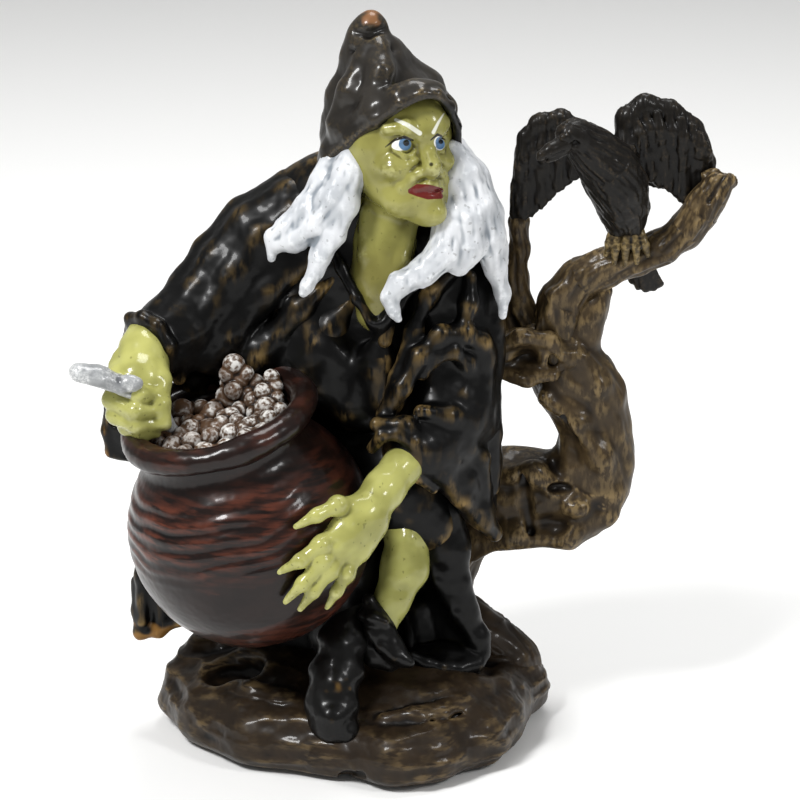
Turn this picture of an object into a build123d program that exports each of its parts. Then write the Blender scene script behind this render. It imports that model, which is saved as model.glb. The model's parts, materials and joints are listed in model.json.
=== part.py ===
"""Painted cast-resin figurine: a crouching witch stirring a cauldron, with a raven on a gnarled tree.

Each casting is its own solid. Castings meet face to face along their glue lines, and steel dowels join
the thin ones. Units are millimetres, +Z is up and the front of the figurine faces -Y.
"""

from build123d import *
from math import cos, radians, sin, sqrt
import os

# ---------------------------------------------------------------- driving dimensions
pad_thickness = 1.0
pad_diameter = 9.0

base_width = 66.0
base_depth = 58.0
base_height = 15.0

pot_radius = 24.5
pot_lean_left = 14.0
pot_lean_forward = 10.0
pot_lap_height = 33.0
mouth_radius = 14.6
mouth_depth = 8.5
lip_radius = 2.7
brew_thickness = 3.4

ladle_tip_radius = 2.2
ladle_shaft_radius = 1.4

trunk_radius = 8.0
branch_radius = 4.0
raven_breast_radius = 5.4
raven_head_radius = 3.4
wing_thickness = 2.8
tail_width = 7.0
tail_thickness = 1.8

face_width = 20.0
face_length = 26.0
hat_height = 27.0

wrist_radius = 3.9
finger_radius = 1.35
shin_radius = 5.2
cloth_wall = 2.2

dowel_diameter = 2.0
dowel_fit = 0.0

# ---------------------------------------------------------------- places taken from the driving dimensions
base_top = pad_thickness + base_height
middle_x = 2.75
middle_y = -0.95


def at(x, y, z):
    """A point laid out from the witch's left foot, its height taken from the top of the base."""
    return Vector(x - middle_x, y - middle_y, base_top + z)


base_centre = at(-11, 0, 0)
pot_axis = Vector(-sin(radians(pot_lean_left)), -sin(radians(pot_lean_forward)), 1).normalized()
pot_centre = at(-30, -10, pot_lap_height)
pot_neck_rise = 0.80 * pot_radius
pot_neck_radius = mouth_radius + 1.8
mouth_rise = pot_neck_rise + 2.9 * lip_radius
pot_plane = Plane(pot_centre, x_dir=Vector(pot_axis.Z, 0, -pot_axis.X), z_dir=pot_axis)
head_centre = at(-0.8, -3.5, 107.5)
face_ahead = Vector(0.60, -0.80, -0.06).normalized()
head_up = Vector(-0.10, -0.06, 1)
head_plane = Plane(head_centre, x_dir=face_ahead.cross(head_up) * -1, z_dir=head_up - face_ahead * face_ahead.dot(head_up))


def pot_skin(across, up, lift=0.0):
    """A point on the front of the pot's round body, given as shares of its radius, lifted off the wall."""
    outward = Vector(across, -sqrt(max(0.0, 1 - across**2 - up**2)), up)
    return pot_centre + outward * (pot_radius + lift)


def in_pot(across, away, rise):
    """A point given across the mouth, away from the viewer and above the pot's centre, on its leaning axis."""
    return pot_plane.from_local_coords(Vector(across, away, rise))


def in_head(right, back, up):
    """A point given from the middle of the head, to its own left, to its back and upwards."""
    return head_plane.from_local_coords(Vector(right, back, up))


# ---------------------------------------------------------------- forms that several castings share
def limb(stations, side=Vector(1, 0, 0)):
    """A tapering form lofted through ellipses set square to its run; a station is (point, half width, half depth)."""
    points = [station[0] for station in stations]
    with BuildPart() as form:
        for i, (point, wide, deep) in enumerate(stations):
            run = points[min(i + 1, len(points) - 1)] - points[max(i - 1, 0)]
            across = side - run * (side.dot(run) / run.dot(run))
            with BuildSketch(Plane(point, x_dir=across, z_dir=run)):
                Ellipse(wide, deep)
        loft()
    return form.part


def round_limb(stations, side=Vector(1, 0, 0)):
    """A tapering form with round sections; a station is (point, radius)."""
    return limb([(point, radius, radius) for point, radius in stations], side)


def egg(plane, wide, deep, tall):
    """An ellipsoid with the three half sizes given, set in a plane."""
    with BuildPart() as form:
        Sphere(1.0)
        scale(by=(wide, deep, tall))
    return plane.location * form.part


def rod(start, end, radius):
    """A straight round rod between two points."""
    run = end - start
    with BuildPart() as form:
        with BuildSketch(Plane(start, z_dir=run)):
            Circle(radius)
        extrude(amount=run.length)
    return form.part


def blade(outline, plane, thickness):
    """A flat form cut to a closed curve and extruded both ways from its plane."""
    with BuildPart() as form:
        with BuildSketch(plane):
            with BuildLine():
                Spline(*outline, periodic=True)
            make_face()
        extrude(amount=thickness / 2, both=True)
    return form.part


forms = {}
pieces = {}


def keep(name, builder, *neighbours):
    """Trims a casting against the full forms of its neighbours and files its main body under its name."""
    forms[name] = builder.part
    trimmed = builder.part
    for neighbour in neighbours:
        cutter = forms[neighbour] if isinstance(neighbour, str) else neighbour
        trimmed = trimmed - cutter
    main_body = trimmed.solids().sort_by(SortBy.VOLUME)[-1]
    if not main_body.is_valid:
        main_body = main_body.fix()
    pieces[name] = Part(main_body.wrapped)


# ---------------------------------------------------------------- base and pads
rock_outline = [
    (-0.97, 0.24),
    (-0.84, -0.04),
    (-0.52, -0.60),
    (-0.15, -0.82),
    (0.34, -1.02),
    (0.62, -0.84),
    (0.90, -0.50),
    (1.00, 0.05),
    (1.04, 0.55),
    (0.70, 0.94),
    (0.03, 1.00),
    (-0.64, 0.84),
    (-0.92, 0.55),
]
rock_levels = [(0.0, 0.96), (0.22, 1.02), (0.60, 0.93), (1.0, 0.66)]

with BuildPart() as ground_base:
    for level, spread in rock_levels:
        ring = [
            (base_centre.X + x * spread * base_width / 2, base_centre.Y + y * spread * base_depth / 2)
            for x, y in rock_outline
        ]
        with BuildSketch(Plane.XY.offset(pad_thickness + level * base_height)):
            with BuildLine():
                Spline(*ring, periodic=True)
            make_face()
    loft()

pad_places = [(-0.56, 0.42), (-0.20, -0.52), (0.74, -0.40), (0.56, 0.56)]
pads = []
for share_x, share_y in pad_places:
    pad_x = base_centre.X + share_x * base_width / 2
    pad_y = base_centre.Y + share_y * base_depth / 2
    with BuildPart(Plane((pad_x, pad_y, 0))) as pad:
        Cylinder(pad_diameter / 2, pad_thickness, align=(Align.CENTER, Align.CENTER, Align.MIN))
        chamfer(pad.edges().group_by(Axis.Z)[0], pad_thickness / 4)
    pads.append(pad)

# ---------------------------------------------------------------- tree
trunk_route = [
    (at(15, 17, -6), trunk_radius + 1.5),
    (at(17, 17, 6), trunk_radius),
    (at(20.5, 16, 17), trunk_radius - 1.0),
    (at(29, 14, 25.5), trunk_radius + 0.3),
    (at(38, 12.5, 32), trunk_radius),
    (at(41, 11.5, 43), trunk_radius - 1.2),
    (at(38.5, 11, 54), trunk_radius - 1.6),
    (at(34.5, 10.5, 63), trunk_radius - 1.6),
    (at(32, 10, 69), trunk_radius - 2.4),
]
branch_route = [
    (at(30.5, 10.2, 65.5), branch_radius + 1.5),
    (at(36, 9.2, 75), branch_radius + 0.8),
    (at(42.5, 7.8, 81.5), branch_radius + 0.3),
    (at(50, 7, 85), branch_radius),
    (at(57, 6.2, 90), branch_radius - 0.3),
    (at(62, 5.5, 95.5), branch_radius - 0.6),
    (at(65, 5, 99.5), branch_radius - 0.1),
]
with BuildPart() as tree_trunk:
    add(round_limb(trunk_route))

with BuildPart() as trunk_knot:
    add(round_limb([(at(33, 9.5, 62), 5.6), (at(27, 8.5, 63), 5.2), (at(22.5, 8.0, 63.5), 4.6)], Vector(0, 0, 1)))

with BuildPart() as tree_root:
    add(round_limb([(at(17, 17, 8), 7.0), (at(23.5, 14.5, 1), 6.2), (at(26.5, 12.5, -7), 5.0), (at(27.5, 11.5, -13), 4.4)]))

with BuildPart() as perch_branch:
    add(round_limb(branch_route))

with BuildPart() as thin_branch:
    add(
        round_limb(
            [
                (at(30, 11, 67), 3.6),
                (at(26.5, 12, 73), 2.9),
                (at(24, 12.8, 80), 2.3),
                (at(24, 12.6, 87), 2.2),
                (at(25.2, 12, 93), 2.6),
            ]
        )
    )

# ---------------------------------------------------------------- raven
perch = at(46, 6.8, 83.2)
raven_seat = perch + Vector(-0.5, -0.5, branch_radius)
raven_head = raven_seat + Vector(-10.4, -8.6, 21.8)
with BuildPart() as raven_body:
    add(
        round_limb(
            [
                (raven_seat + Vector(0.6, 0.8, -1.2), raven_breast_radius - 2.2),
                (raven_seat + Vector(-0.6, -0.8, 5.0), raven_breast_radius - 0.2),
                (raven_seat + Vector(-2.8, -2.6, 11.5), raven_breast_radius),
                (raven_seat + Vector(-5.8, -5.0, 17.5), raven_breast_radius - 1.6),
                (raven_seat + Vector(-8.6, -7.4, 21.0), raven_breast_radius - 3.0),
            ]
        )
    )
    add(egg(Plane(raven_head), raven_head_radius + 0.4, raven_head_radius, raven_head_radius))
with BuildPart() as raven_beak:
    add(round_limb([(raven_head + Vector(-1.5, -1.2, 0.2), 1.5), (raven_head + Vector(-8.0, -6.6, -2.8), 0.4)]))
with BuildPart() as raven_tail:
    add(
        limb(
            [
                (raven_seat + Vector(1.4, 5.4, 0.5), tail_width / 2 - 1.0, tail_thickness / 2 + 0.8),
                (raven_seat + Vector(3.2, 7.6, -5.5), tail_width / 2, tail_thickness / 2 + 0.2),
                (raven_seat + Vector(4.8, 9.0, -12.5), tail_width / 2, tail_thickness / 2),
            ]
        )
    )
wing_plane = Plane(raven_seat + Vector(0, 3.2, 0), x_dir=Vector(1, 0, 0), z_dir=Vector(0, -1, 0))
near_wing = [(-6, 16), (-9.5, 22), (-14, 24), (-18.5, 22), (-21.5, 17), (-22.4, 10), (-22, 3), (-20, 0.6), (-16, 4), (-11, 8.5), (-5, 11)]
far_wing = [(-3.0, 15), (-3.2, 21), (-2, 25.6), (3, 27.6), (9, 26), (14, 21.5), (16.6, 15), (17.2, 9), (15.8, 5.0), (12, 3.6), (9.4, 7.6), (4, 10)]
with BuildPart() as raven_right_wing:
    add(blade(near_wing, wing_plane, wing_thickness))
with BuildPart() as raven_left_wing:
    add(blade(far_wing, wing_plane, wing_thickness))

raven_feet = {}
for name, place in (("raven_right_foot", -2.8), ("raven_left_foot", 2.4)):
    ankle = raven_seat + Vector(place, -0.6, -0.4)
    with BuildPart() as foot:
        add(round_limb([(ankle + Vector(0, 0, 1.5), 1.3), (ankle + Vector(0, -1.6, -0.8), 1.2)]))
        for spread in (-1.5, 0, 1.5):
            toe_tip = ankle + Vector(spread, -2.0 - 0.2 * branch_radius, -branch_radius - 0.4)
            add(round_limb([(ankle + Vector(0, -1.0, 0.2), 1.0), (ankle + Vector(spread, -2.6, -1.6), 0.9), (toe_tip, 0.45)]))
    raven_feet[name] = foot

# ---------------------------------------------------------------- cauldron, brew and ladle
with BuildPart(pot_plane) as cauldron_pot:
    with BuildSketch(pot_plane * Plane.XZ):
        with BuildLine():
            foot_start = (0, -pot_radius)
            body = ThreePointArc(
                foot_start, (pot_radius * cos(radians(5)), -pot_radius * sin(radians(5))), (0.62 * pot_radius + 4.6, 0.62 * pot_radius)
            )
            neck = Spline(body @ 1, (pot_neck_radius, pot_neck_rise), tangents=[body % 1, (0.25, 1)])
            lip_low = (pot_neck_radius + 1.2, mouth_rise - 2.4 * lip_radius)
            Line(neck @ 1, lip_low)
            Spline(lip_low, (mouth_radius + 2 * lip_radius, mouth_rise - lip_radius), (mouth_radius + lip_radius, mouth_rise))
            Line((mouth_radius + lip_radius, mouth_rise), (mouth_radius, mouth_rise - 0.8))
            Line((mouth_radius, mouth_rise - 0.8), (mouth_radius, mouth_rise - mouth_depth))
            Line((mouth_radius, mouth_rise - mouth_depth), (0, mouth_rise - mouth_depth))
            Line((0, mouth_rise - mouth_depth), foot_start)
        make_face()
    revolve(axis=Axis(pot_centre, pot_axis))

bubbles = [
    (9.2, 2.1, 1.4, 2.1),
    (3.7, 4.8, 1.0, 1.6),
    (-1.7, 5.3, 1.4, 2.0),
    (-6.0, 0.2, 1.2, 1.9),
    (-3.0, 0.9, 0.8, 1.4),
    (0.1, 0.2, 1.0, 1.6),
    (3.4, -0.2, 1.0, 1.5),
    (-6.8, 4.2, 1.0, 1.5),
    (6.5, 2.7, 0.8, 1.3),
    (-9.2, 4.7, 0.8, 1.3),
    (-8.2, 8.2, 1.8, 2.2),
    (-4.4, 8.6, 1.2, 1.7),
    (-1.7, 9.4, 0.9, 1.2),
    (1.4, 8.4, 2.6, 2.2),
    (5.4, 7.6, 2.2, 1.9),
    (4.4, 9.4, 5.2, 2.2),
    (1.8, 10.0, 4.9, 1.3),
    (4.2, 9.8, 8.6, 2.0),
    (11.4, 4.4, 2.0, 1.5),
    (11.4, 6.2, 3.6, 1.6),
    (11.2, 7.2, 5.4, 1.5),
    (-9.5, -4.5, 1.0, 1.7),
    (-5.5, -4.8, 1.0, 1.8),
    (-1.8, -4.2, 1.0, 1.6),
    (2.2, -4.8, 1.0, 1.8),
    (6.2, -3.4, 1.1, 1.7),
    (10.0, -2.6, 1.4, 1.6),
    (-7.0, -9.0, 0.8, 1.6),
    (-3.0, -9.6, 0.8, 1.7),
    (1.5, -9.8, 0.8, 1.6),
    (6.0, -8.4, 0.9, 1.7),
]
brew_level = mouth_rise - mouth_depth + brew_thickness
with BuildPart(pot_plane.offset(mouth_rise - mouth_depth)) as brew:
    Cylinder(mouth_radius, brew_thickness, align=(Align.CENTER, Align.CENTER, Align.MIN))
    for across, away, rise, size in bubbles:
        with Locations((across * mouth_radius / 14.6, away * mouth_radius / 14.6, brew_thickness + rise)):
            Sphere(size)

grip = in_pot(-mouth_radius - lip_radius + 0.6, 0.8, mouth_rise + 2.2)
ladle_tip = grip + Vector(-8.6, -7.0, 6.0)
ladle_run = (grip - ladle_tip).normalized()
with BuildPart() as ladle:
    add(
        round_limb(
            [
                (ladle_tip, 0.4 * ladle_tip_radius),
                (ladle_tip + ladle_run * 0.9, 0.86 * ladle_tip_radius),
                (ladle_tip + ladle_run * 3.2, ladle_tip_radius),
                (grip - ladle_run * 2.0, ladle_shaft_radius + 0.3),
                (grip + ladle_run * 2.0, ladle_shaft_radius),
                (in_pot(-mouth_radius + 6.0, 2.0, brew_level - 1.4), ladle_shaft_radius),
            ],
            Vector(0, 0, 1),
        )
    )

# ---------------------------------------------------------------- robe
waist = at(-7.5, 13, 57)
with BuildPart() as robe_body:
    add(
        limb(
            [
                (at(-9, 14, -3), 29, 16),
                (at(-9, 14.5, 8), 27, 17),
                (at(-8, 15, 26), 25, 18.0),
                (at(-7, 14.5, 42), 23.5, 17),
                (waist, 23.5, 15.5),
                (at(-9, 11, 72), 23.5, 14.0),
                (at(-10, 9, 86), 21, 12.5),
                (at(-11.5, 8.5, 97), 14.5, 10.5),
                (at(-12.5, 9, 103.5), 7.0, 6),
            ],
            Vector(1, 0, 0),
        )
    )

with BuildPart() as right_sleeve:
    add(
        limb(
            [
                (at(-12, 9, 93), 10.5, 9.5),
                (at(-22, 10, 93), 10.5, 9),
                (at(-32, 7.5, 85.0), 12.0, 8.5),
                (at(-42, 1.5, 77.5), 10.0, 7.4),
                (at(-48.6, -5.0, 72.0), 7.2, 6.2),
                (at(-51.2, -8.6, 69.0), 5.6, 5.4),
            ],
            Vector(0, 0, 1),
        )
    )

with BuildPart() as right_cuff_drape:
    add(
        limb(
            [
                (at(-43, 4, 76), 8.0, 3.2),
                (at(-47, 5, 64), 7.6, 3.0),
                (at(-50, 5, 52), 6.6, 2.8),
                (at(-52, 4, 42), 4.6, 2.2),
            ]
        )
    )

with BuildPart() as knee_drape:
    add(
        limb(
            [
                (at(-26, 12, 50), 13, 8),
                (at(-33, 10, 36), 17, 9),
                (at(-37, 9, 20), 17, 8),
                (at(-40, 8.5, 6), 13.5, 6),
                (at(-42, 8, 2), 11, 4.4),
            ]
        )
    )

with BuildPart() as left_sleeve:
    add(
        limb(
            [
                (at(6, 5, 88), 9, 9),
                (at(9.5, 4.5, 77), 11.5, 10.6),
                (at(10.5, 1.5, 64), 12, 10.8),
                (at(9.5, -4.0, 54.0), 11.0, 9.6),
                (at(6.5, -9.5, 49.6), 8.8, 7.6),
                (at(3.8, -13.0, 48.0), 7.0, 6.0),
            ]
        )
    )

skirt_top = at(9, 2, 36)
skirt_mid = at(10.5, -0.5, 16)
skirt_hem = at(10.5, -2.0, -2.5)
skirt_reach = (9.0, 11.5, 12.0)
with BuildPart() as skirt_panel:
    add(round_limb(list(zip((skirt_top, skirt_mid, skirt_hem), skirt_reach))))
with BuildPart() as skirt_hollow:
    add(
        round_limb(
            [
                (skirt_top + Vector(-1.5, -1.5, -8), skirt_reach[0] - cloth_wall),
                (skirt_mid + Vector(-1.0, -1.0, 0), skirt_reach[1] - cloth_wall),
                (skirt_hem + Vector(-0.5, -1.0, -1), skirt_reach[2] - cloth_wall),
            ]
        )
    )
with BuildPart(Plane(at(-3.0, -11.5, 12), x_dir=Vector(0.86, -0.5, 0), z_dir=Vector(0, 0, 1))) as skirt_slit:
    Box(26, 15, 46)

# ---------------------------------------------------------------- leg and boots
with BuildPart() as left_leg:
    add(
        round_limb(
            [
                (at(5.0, -3.0, 33), shin_radius + 1.2),
                (at(2.5, -7.5, 25), shin_radius + 0.4),
                (at(0.0, -11.0, 15), shin_radius - 1.2),
                (at(-1.4, -12.8, 7.5), shin_radius - 2.4),
            ]
        )
    )
with BuildPart() as left_boot:
    add(
        round_limb(
            [
                (at(-6.6, -15.5, 19.5), 1.4),
                (at(-5.2, -16.0, 14.5), 2.7),
                (at(-3.0, -16.6, 8.6), 3.8),
                (at(-1.0, -17.6, 3.4), 3.9),
                (at(0.6, -19.4, -0.4), 2.9),
            ]
        )
    )
with BuildPart() as right_boot:
    add(
        round_limb(
            [
                (at(-9.4, -13.5, 14), 4.2),
                (at(-10.6, -17.5, 6), 4.5),
                (at(-12.2, -21.8, -1.6), 4.6),
                (at(-13.2, -25.2, -7.0), 4.2),
                (at(-13.6, -27.2, -10.4), 2.8),
            ]
        )
    )

# ---------------------------------------------------------------- head, hair and hat
skull = (face_width / 2, 0.56 * face_width, 0.47 * face_length)
neck_foot = at(-4.6, -3.4, 80.5)
with BuildPart() as head:
    add(egg(head_plane, *skull))
    add(egg(Plane(in_head(0, -2.2, -0.24 * face_length), x_dir=head_plane.x_dir, z_dir=head_plane.z_dir), 0.36 * face_width, 0.43 * face_width, 0.27 * face_length))
    add(
        round_limb(
            [
                (in_head(0, -skull[1] + 1.2, 1.8), 1.5),
                (in_head(0, -skull[1] - 1.6, -1.6), 1.9),
                (in_head(0, -skull[1] - 2.6, -4.4), 1.2),
            ]
        )
    )
    add(round_limb([(in_head(0, 1.0, -4), 6.0), (at(-1.6, -2.8, 92), 5.6), (neck_foot, 6.6)]))

hat_foot = in_head(0, 3.2, 1.0)
hat_rise = Vector(-0.24, 0.20, 1).normalized()
with BuildPart() as hat:
    add(
        limb(
            [
                (hat_foot, 14.2, 13.8),
                (hat_foot + hat_rise * 3.0, 12.8, 13.0),
                (hat_foot + hat_rise * 8.0, 11.6, 12.2),
                (hat_foot + hat_rise * 13.0, 9.2, 9.6),
                (hat_foot + Vector(-4.0, 1.8, 0.68 * hat_height), 5.0, 5.2),
                (hat_foot + Vector(-5.4, 1.4, 0.88 * hat_height), 3.4, 3.4),
                (hat_foot + Vector(-7.0, 1.0, 1.04 * hat_height), 2.0, 2.0),
            ],
            head_plane.x_dir,
        )
    )
with BuildPart() as face_opening:
    add(
        limb(
            [
                (in_head(0, -30, -5), 11.0, 15.0),
                (in_head(0, -4.4, -5), 10.4, 13.6),
            ],
            head_plane.x_dir,
        )
    )

with BuildPart() as right_hair:
    add(limb([(in_head(-8.6, -1.0, 4), 2.2, 5.0), (at(-12.5, -6.4, 99.5), 3.2, 5.0), (at(-17, -7.6, 94), 3.6, 4.6), (at(-21.5, -6.4, 90.6), 2.6, 3.0), (at(-25, -6.0, 87.0), 1.2, 1.4)], Vector(0, 1, 0)))
    add(round_limb([(at(-15, -8.0, 94.5), 3.0), (at(-15.5, -10.6, 88), 1.9), (at(-17.2, -11.6, 82.5), 0.9)]))
with BuildPart() as left_hair:
    add(limb([(in_head(9.0, 0.0, 4), 2.6, 5.0), (at(15.0, -1.6, 99), 4.0, 5.6), (at(18.6, -1.4, 91), 4.0, 5.0), (at(20.6, -1.6, 83), 2.4, 3.0), (at(21.4, -2.0, 75), 0.8, 0.9)], Vector(1, 0, 0)))
    add(round_limb([(at(14, -4.0, 92), 4.2), (at(8, -8.6, 87.5), 3.0), (at(1.4, -11.6, 83.6), 2.0), (at(-1.8, -13.0, 79), 0.8)], Vector(0, 1, 0)))

# ---------------------------------------------------------------- hands
left_wrist = at(3.6, -13.2, 47.6)
palm_root = pot_skin(0.94, 0.16, wrist_radius)
palm_middle = pot_skin(0.82, 0.02, 0.75 * wrist_radius)
knuckles = pot_skin(0.66, -0.08, 0.5 * wrist_radius)
digits = [
    ((0.84, 0.20), (0.62, 0.42), (0.42, 0.36)),
    ((0.66, 0.08), (0.46, 0.06), (0.28, -0.04)),
    ((0.66, -0.06), (0.48, -0.18), (0.34, -0.30)),
    ((0.68, -0.16), (0.54, -0.28), (0.44, -0.38)),
    ((0.76, -0.22), (0.70, -0.36), (0.64, -0.46)),
]
with BuildPart() as left_hand:
    add(limb([(left_wrist, wrist_radius, wrist_radius), (palm_root, wrist_radius + 0.4, 0.8 * wrist_radius), (palm_middle, 1.7 * wrist_radius, 0.6 * wrist_radius), (knuckles, 1.5 * wrist_radius, 0.45 * wrist_radius)], Vector(0.2, 0, 1)))
    for root, joint, tip in digits:
        add(
            round_limb(
                [
                    (pot_skin(*root, 1.4), finger_radius + 0.4),
                    (pot_skin(*joint, 1.0), finger_radius + 0.1),
                    (pot_skin(*tip, 0.5), finger_radius - 0.4),
                ],
                Vector(0, 1, 0),
            )
        )

with BuildPart() as right_hand:
    add(
        round_limb(
            [
                (at(-51.2, -8.2, 69), wrist_radius + 0.6),
                (grip + Vector(1.0, 4.0, 7.0), wrist_radius + 1.0),
                (grip + Vector(0.6, 0.6, 1.4), wrist_radius + 1.8),
                (grip + Vector(1.2, -2.2, -4.0), wrist_radius + 0.9),
                (grip + Vector(3.2, -4.2, -7.6), wrist_radius - 1.4),
            ]
        )
    )
    add(round_limb([(grip + Vector(2.4, -1.6, -3.0), 3.0), (grip + Vector(5.2, -3.2, -5.6), 2.0), (grip + Vector(7.6, -5.0, -8.4), 0.8)]))

# ---------------------------------------------------------------- steel dowels
dowel_radius = dowel_diameter / 2
dowels = {
    "neck_dowel": (at(-5.0, -1.0, 72), in_head(0, 2, -8)),
    "trunk_dowel": (at(11.5, 17, -9), at(11.5, 17, 5)),
    "branch_dowel": (at(33.5, 10.2, 62), at(40, 8.4, 78.5)),
    "raven_dowel": (perch + Vector(-0.2, -0.2, -1.2), raven_seat + Vector(-1.6, -1.4, 8)),
    "right_wrist_dowel": (at(-48.6, -4.8, 73.5), grip + Vector(1.0, 4.4, 7.6)),
    "left_wrist_dowel": (at(8.6, -7.8, 51), left_wrist + Vector(-1.4, -1.4, -0.4)),
    "cauldron_dowel": (pot_centre + Vector(4, 8, -8), pot_centre + Vector(12, 28, -16)),
}
pins = {}
for name, (start, end) in dowels.items():
    with BuildPart() as pin:
        add(rod(start, end, dowel_radius + dowel_fit))
    pins[name] = pin

# ---------------------------------------------------------------- glue lines: each casting is cut back by its neighbours
for name, pin in pins.items():
    keep(name, pin)
keep("cauldron_pot", cauldron_pot, "cauldron_dowel")
keep("ladle", ladle, "cauldron_pot")
keep("ground_base", ground_base, "trunk_dowel")
for number, pad in enumerate(pads, 1):
    keep(f"base_pad_{number}", pad)
keep("brew", brew, "cauldron_pot", "ladle")
keep("head", head, "neck_dowel")
keep("left_leg", left_leg, "cauldron_pot", "ground_base")
keep("left_boot", left_boot, "ground_base", "left_leg")
keep("right_boot", right_boot, "cauldron_pot", "ground_base", "left_boot", "left_leg")
keep("left_hand", left_hand, "cauldron_pot", "left_wrist_dowel")
keep("right_hand", right_hand, "cauldron_pot", "brew", "ladle", "right_wrist_dowel")
keep(
    "robe_body", robe_body, "cauldron_pot", "ground_base", "left_leg", "left_boot", "right_boot", "head", "left_hand",
    "neck_dowel", "cauldron_dowel", "trunk_dowel",
)
keep("tree_trunk", tree_trunk, "ground_base", "robe_body", "trunk_dowel", "branch_dowel")
keep("tree_root", tree_root, "ground_base", "tree_trunk", "robe_body")
keep("left_sleeve", left_sleeve, "cauldron_pot", "left_hand", "robe_body", "head", "left_wrist_dowel")
keep("right_sleeve", right_sleeve, "cauldron_pot", "right_hand", "robe_body", "right_wrist_dowel")
keep("right_cuff_drape", right_cuff_drape, "cauldron_pot", "right_hand", "robe_body", "right_sleeve")
keep("knee_drape", knee_drape, "cauldron_pot", "ground_base", "robe_body", "right_cuff_drape", "cauldron_dowel")
keep(
    "skirt_panel", skirt_panel, skirt_hollow.part, skirt_slit.part, "cauldron_pot", "ground_base", "left_leg",
    "left_boot", "left_hand", "left_sleeve", "robe_body", "tree_trunk", "tree_root",
)
keep("trunk_knot", trunk_knot, "tree_trunk", "robe_body", "left_sleeve", "branch_dowel")
keep("perch_branch", perch_branch, "tree_trunk", "trunk_knot", "branch_dowel", "raven_dowel")
keep("thin_branch", thin_branch, "tree_trunk", "trunk_knot", "perch_branch", "robe_body")
keep("raven_body", raven_body, "perch_branch", "raven_dowel")
keep("raven_beak", raven_beak, "raven_body")
keep("raven_tail", raven_tail, "raven_body", "perch_branch")
keep("raven_right_wing", raven_right_wing, "raven_body", "raven_tail", "thin_branch")
keep("raven_left_wing", raven_left_wing, "raven_body", "raven_tail", "perch_branch")
for name, foot in raven_feet.items():
    keep(name, foot, "perch_branch", "raven_body", "raven_tail")
keep("right_hair", right_hair, "head", "robe_body", "right_sleeve")
keep("left_hair", left_hair, "head", "robe_body", "left_sleeve", "thin_branch")
keep("hat", hat, face_opening.part, "head", "right_hair", "left_hair", "robe_body", "right_sleeve")

# ---------------------------------------------------------------- files
os.makedirs("parts", exist_ok=True)
for name, piece in pieces.items():
    piece.label = name
    export_step(piece, f"parts/{name}.step")
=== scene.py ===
"""Looks of the painted cast-resin witch figurine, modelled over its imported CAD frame.

Every casting is sculpted as a block of distances, joined and carved like clay, and then skinned. Places are in
millimetres from one point on the table near the middle of the figure, with X to the right, Y to the back and Z up
from the table. Meshes are written in metres in the row's frame.
"""

import json
import math

import bpy
import numpy as np
import openvdb
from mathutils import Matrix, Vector

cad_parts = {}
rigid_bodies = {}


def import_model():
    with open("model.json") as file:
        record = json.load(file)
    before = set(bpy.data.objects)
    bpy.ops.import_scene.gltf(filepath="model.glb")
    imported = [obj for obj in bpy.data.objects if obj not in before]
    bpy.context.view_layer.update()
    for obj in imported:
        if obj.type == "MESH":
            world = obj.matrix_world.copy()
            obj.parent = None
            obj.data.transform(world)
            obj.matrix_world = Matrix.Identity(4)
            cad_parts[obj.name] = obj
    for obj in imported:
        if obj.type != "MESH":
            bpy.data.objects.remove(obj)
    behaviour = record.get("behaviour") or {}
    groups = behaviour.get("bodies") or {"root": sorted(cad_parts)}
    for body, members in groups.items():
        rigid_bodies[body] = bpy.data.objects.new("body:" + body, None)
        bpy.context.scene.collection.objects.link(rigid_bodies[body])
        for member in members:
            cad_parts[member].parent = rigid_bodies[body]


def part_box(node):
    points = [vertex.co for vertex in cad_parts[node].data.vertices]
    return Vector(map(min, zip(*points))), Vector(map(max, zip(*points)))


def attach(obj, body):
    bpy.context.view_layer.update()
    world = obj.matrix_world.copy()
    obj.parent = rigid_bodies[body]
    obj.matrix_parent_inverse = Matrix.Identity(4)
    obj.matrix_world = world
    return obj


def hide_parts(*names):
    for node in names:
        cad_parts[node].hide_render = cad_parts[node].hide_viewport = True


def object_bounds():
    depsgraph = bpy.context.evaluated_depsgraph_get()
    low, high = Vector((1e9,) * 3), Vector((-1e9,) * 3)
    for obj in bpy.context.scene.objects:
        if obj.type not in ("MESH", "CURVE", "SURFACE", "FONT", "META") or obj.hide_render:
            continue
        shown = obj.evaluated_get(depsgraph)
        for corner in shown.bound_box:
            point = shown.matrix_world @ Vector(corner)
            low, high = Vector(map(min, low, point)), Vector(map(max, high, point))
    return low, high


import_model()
start_low, start_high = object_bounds()

# ---------------------------------------------------------------- ground base
# A rocky mound cast in one with its flat underside. The resin is modelled in overlapping ledges with worn knobs
# and small pits, painted dark brown and dry-brushed with tan along the ledges.

middle = (start_low + start_high) / 2
# millimetres are counted from a point on the ground, this far right of and behind the middle of the figure's box
right, back = -2.75, 0.95
foot = np.array([middle.x * 1000 + right, middle.y * 1000 + back, start_low.z * 1000])


def join(a, b, soft):
    """The smooth union of two distances; soft is the width of the fillet between them."""
    share = np.clip(0.5 + 0.5 * (b - a) / soft, 0, 1)
    return b + (a - b) * share - soft * share * (1 - share)


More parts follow.
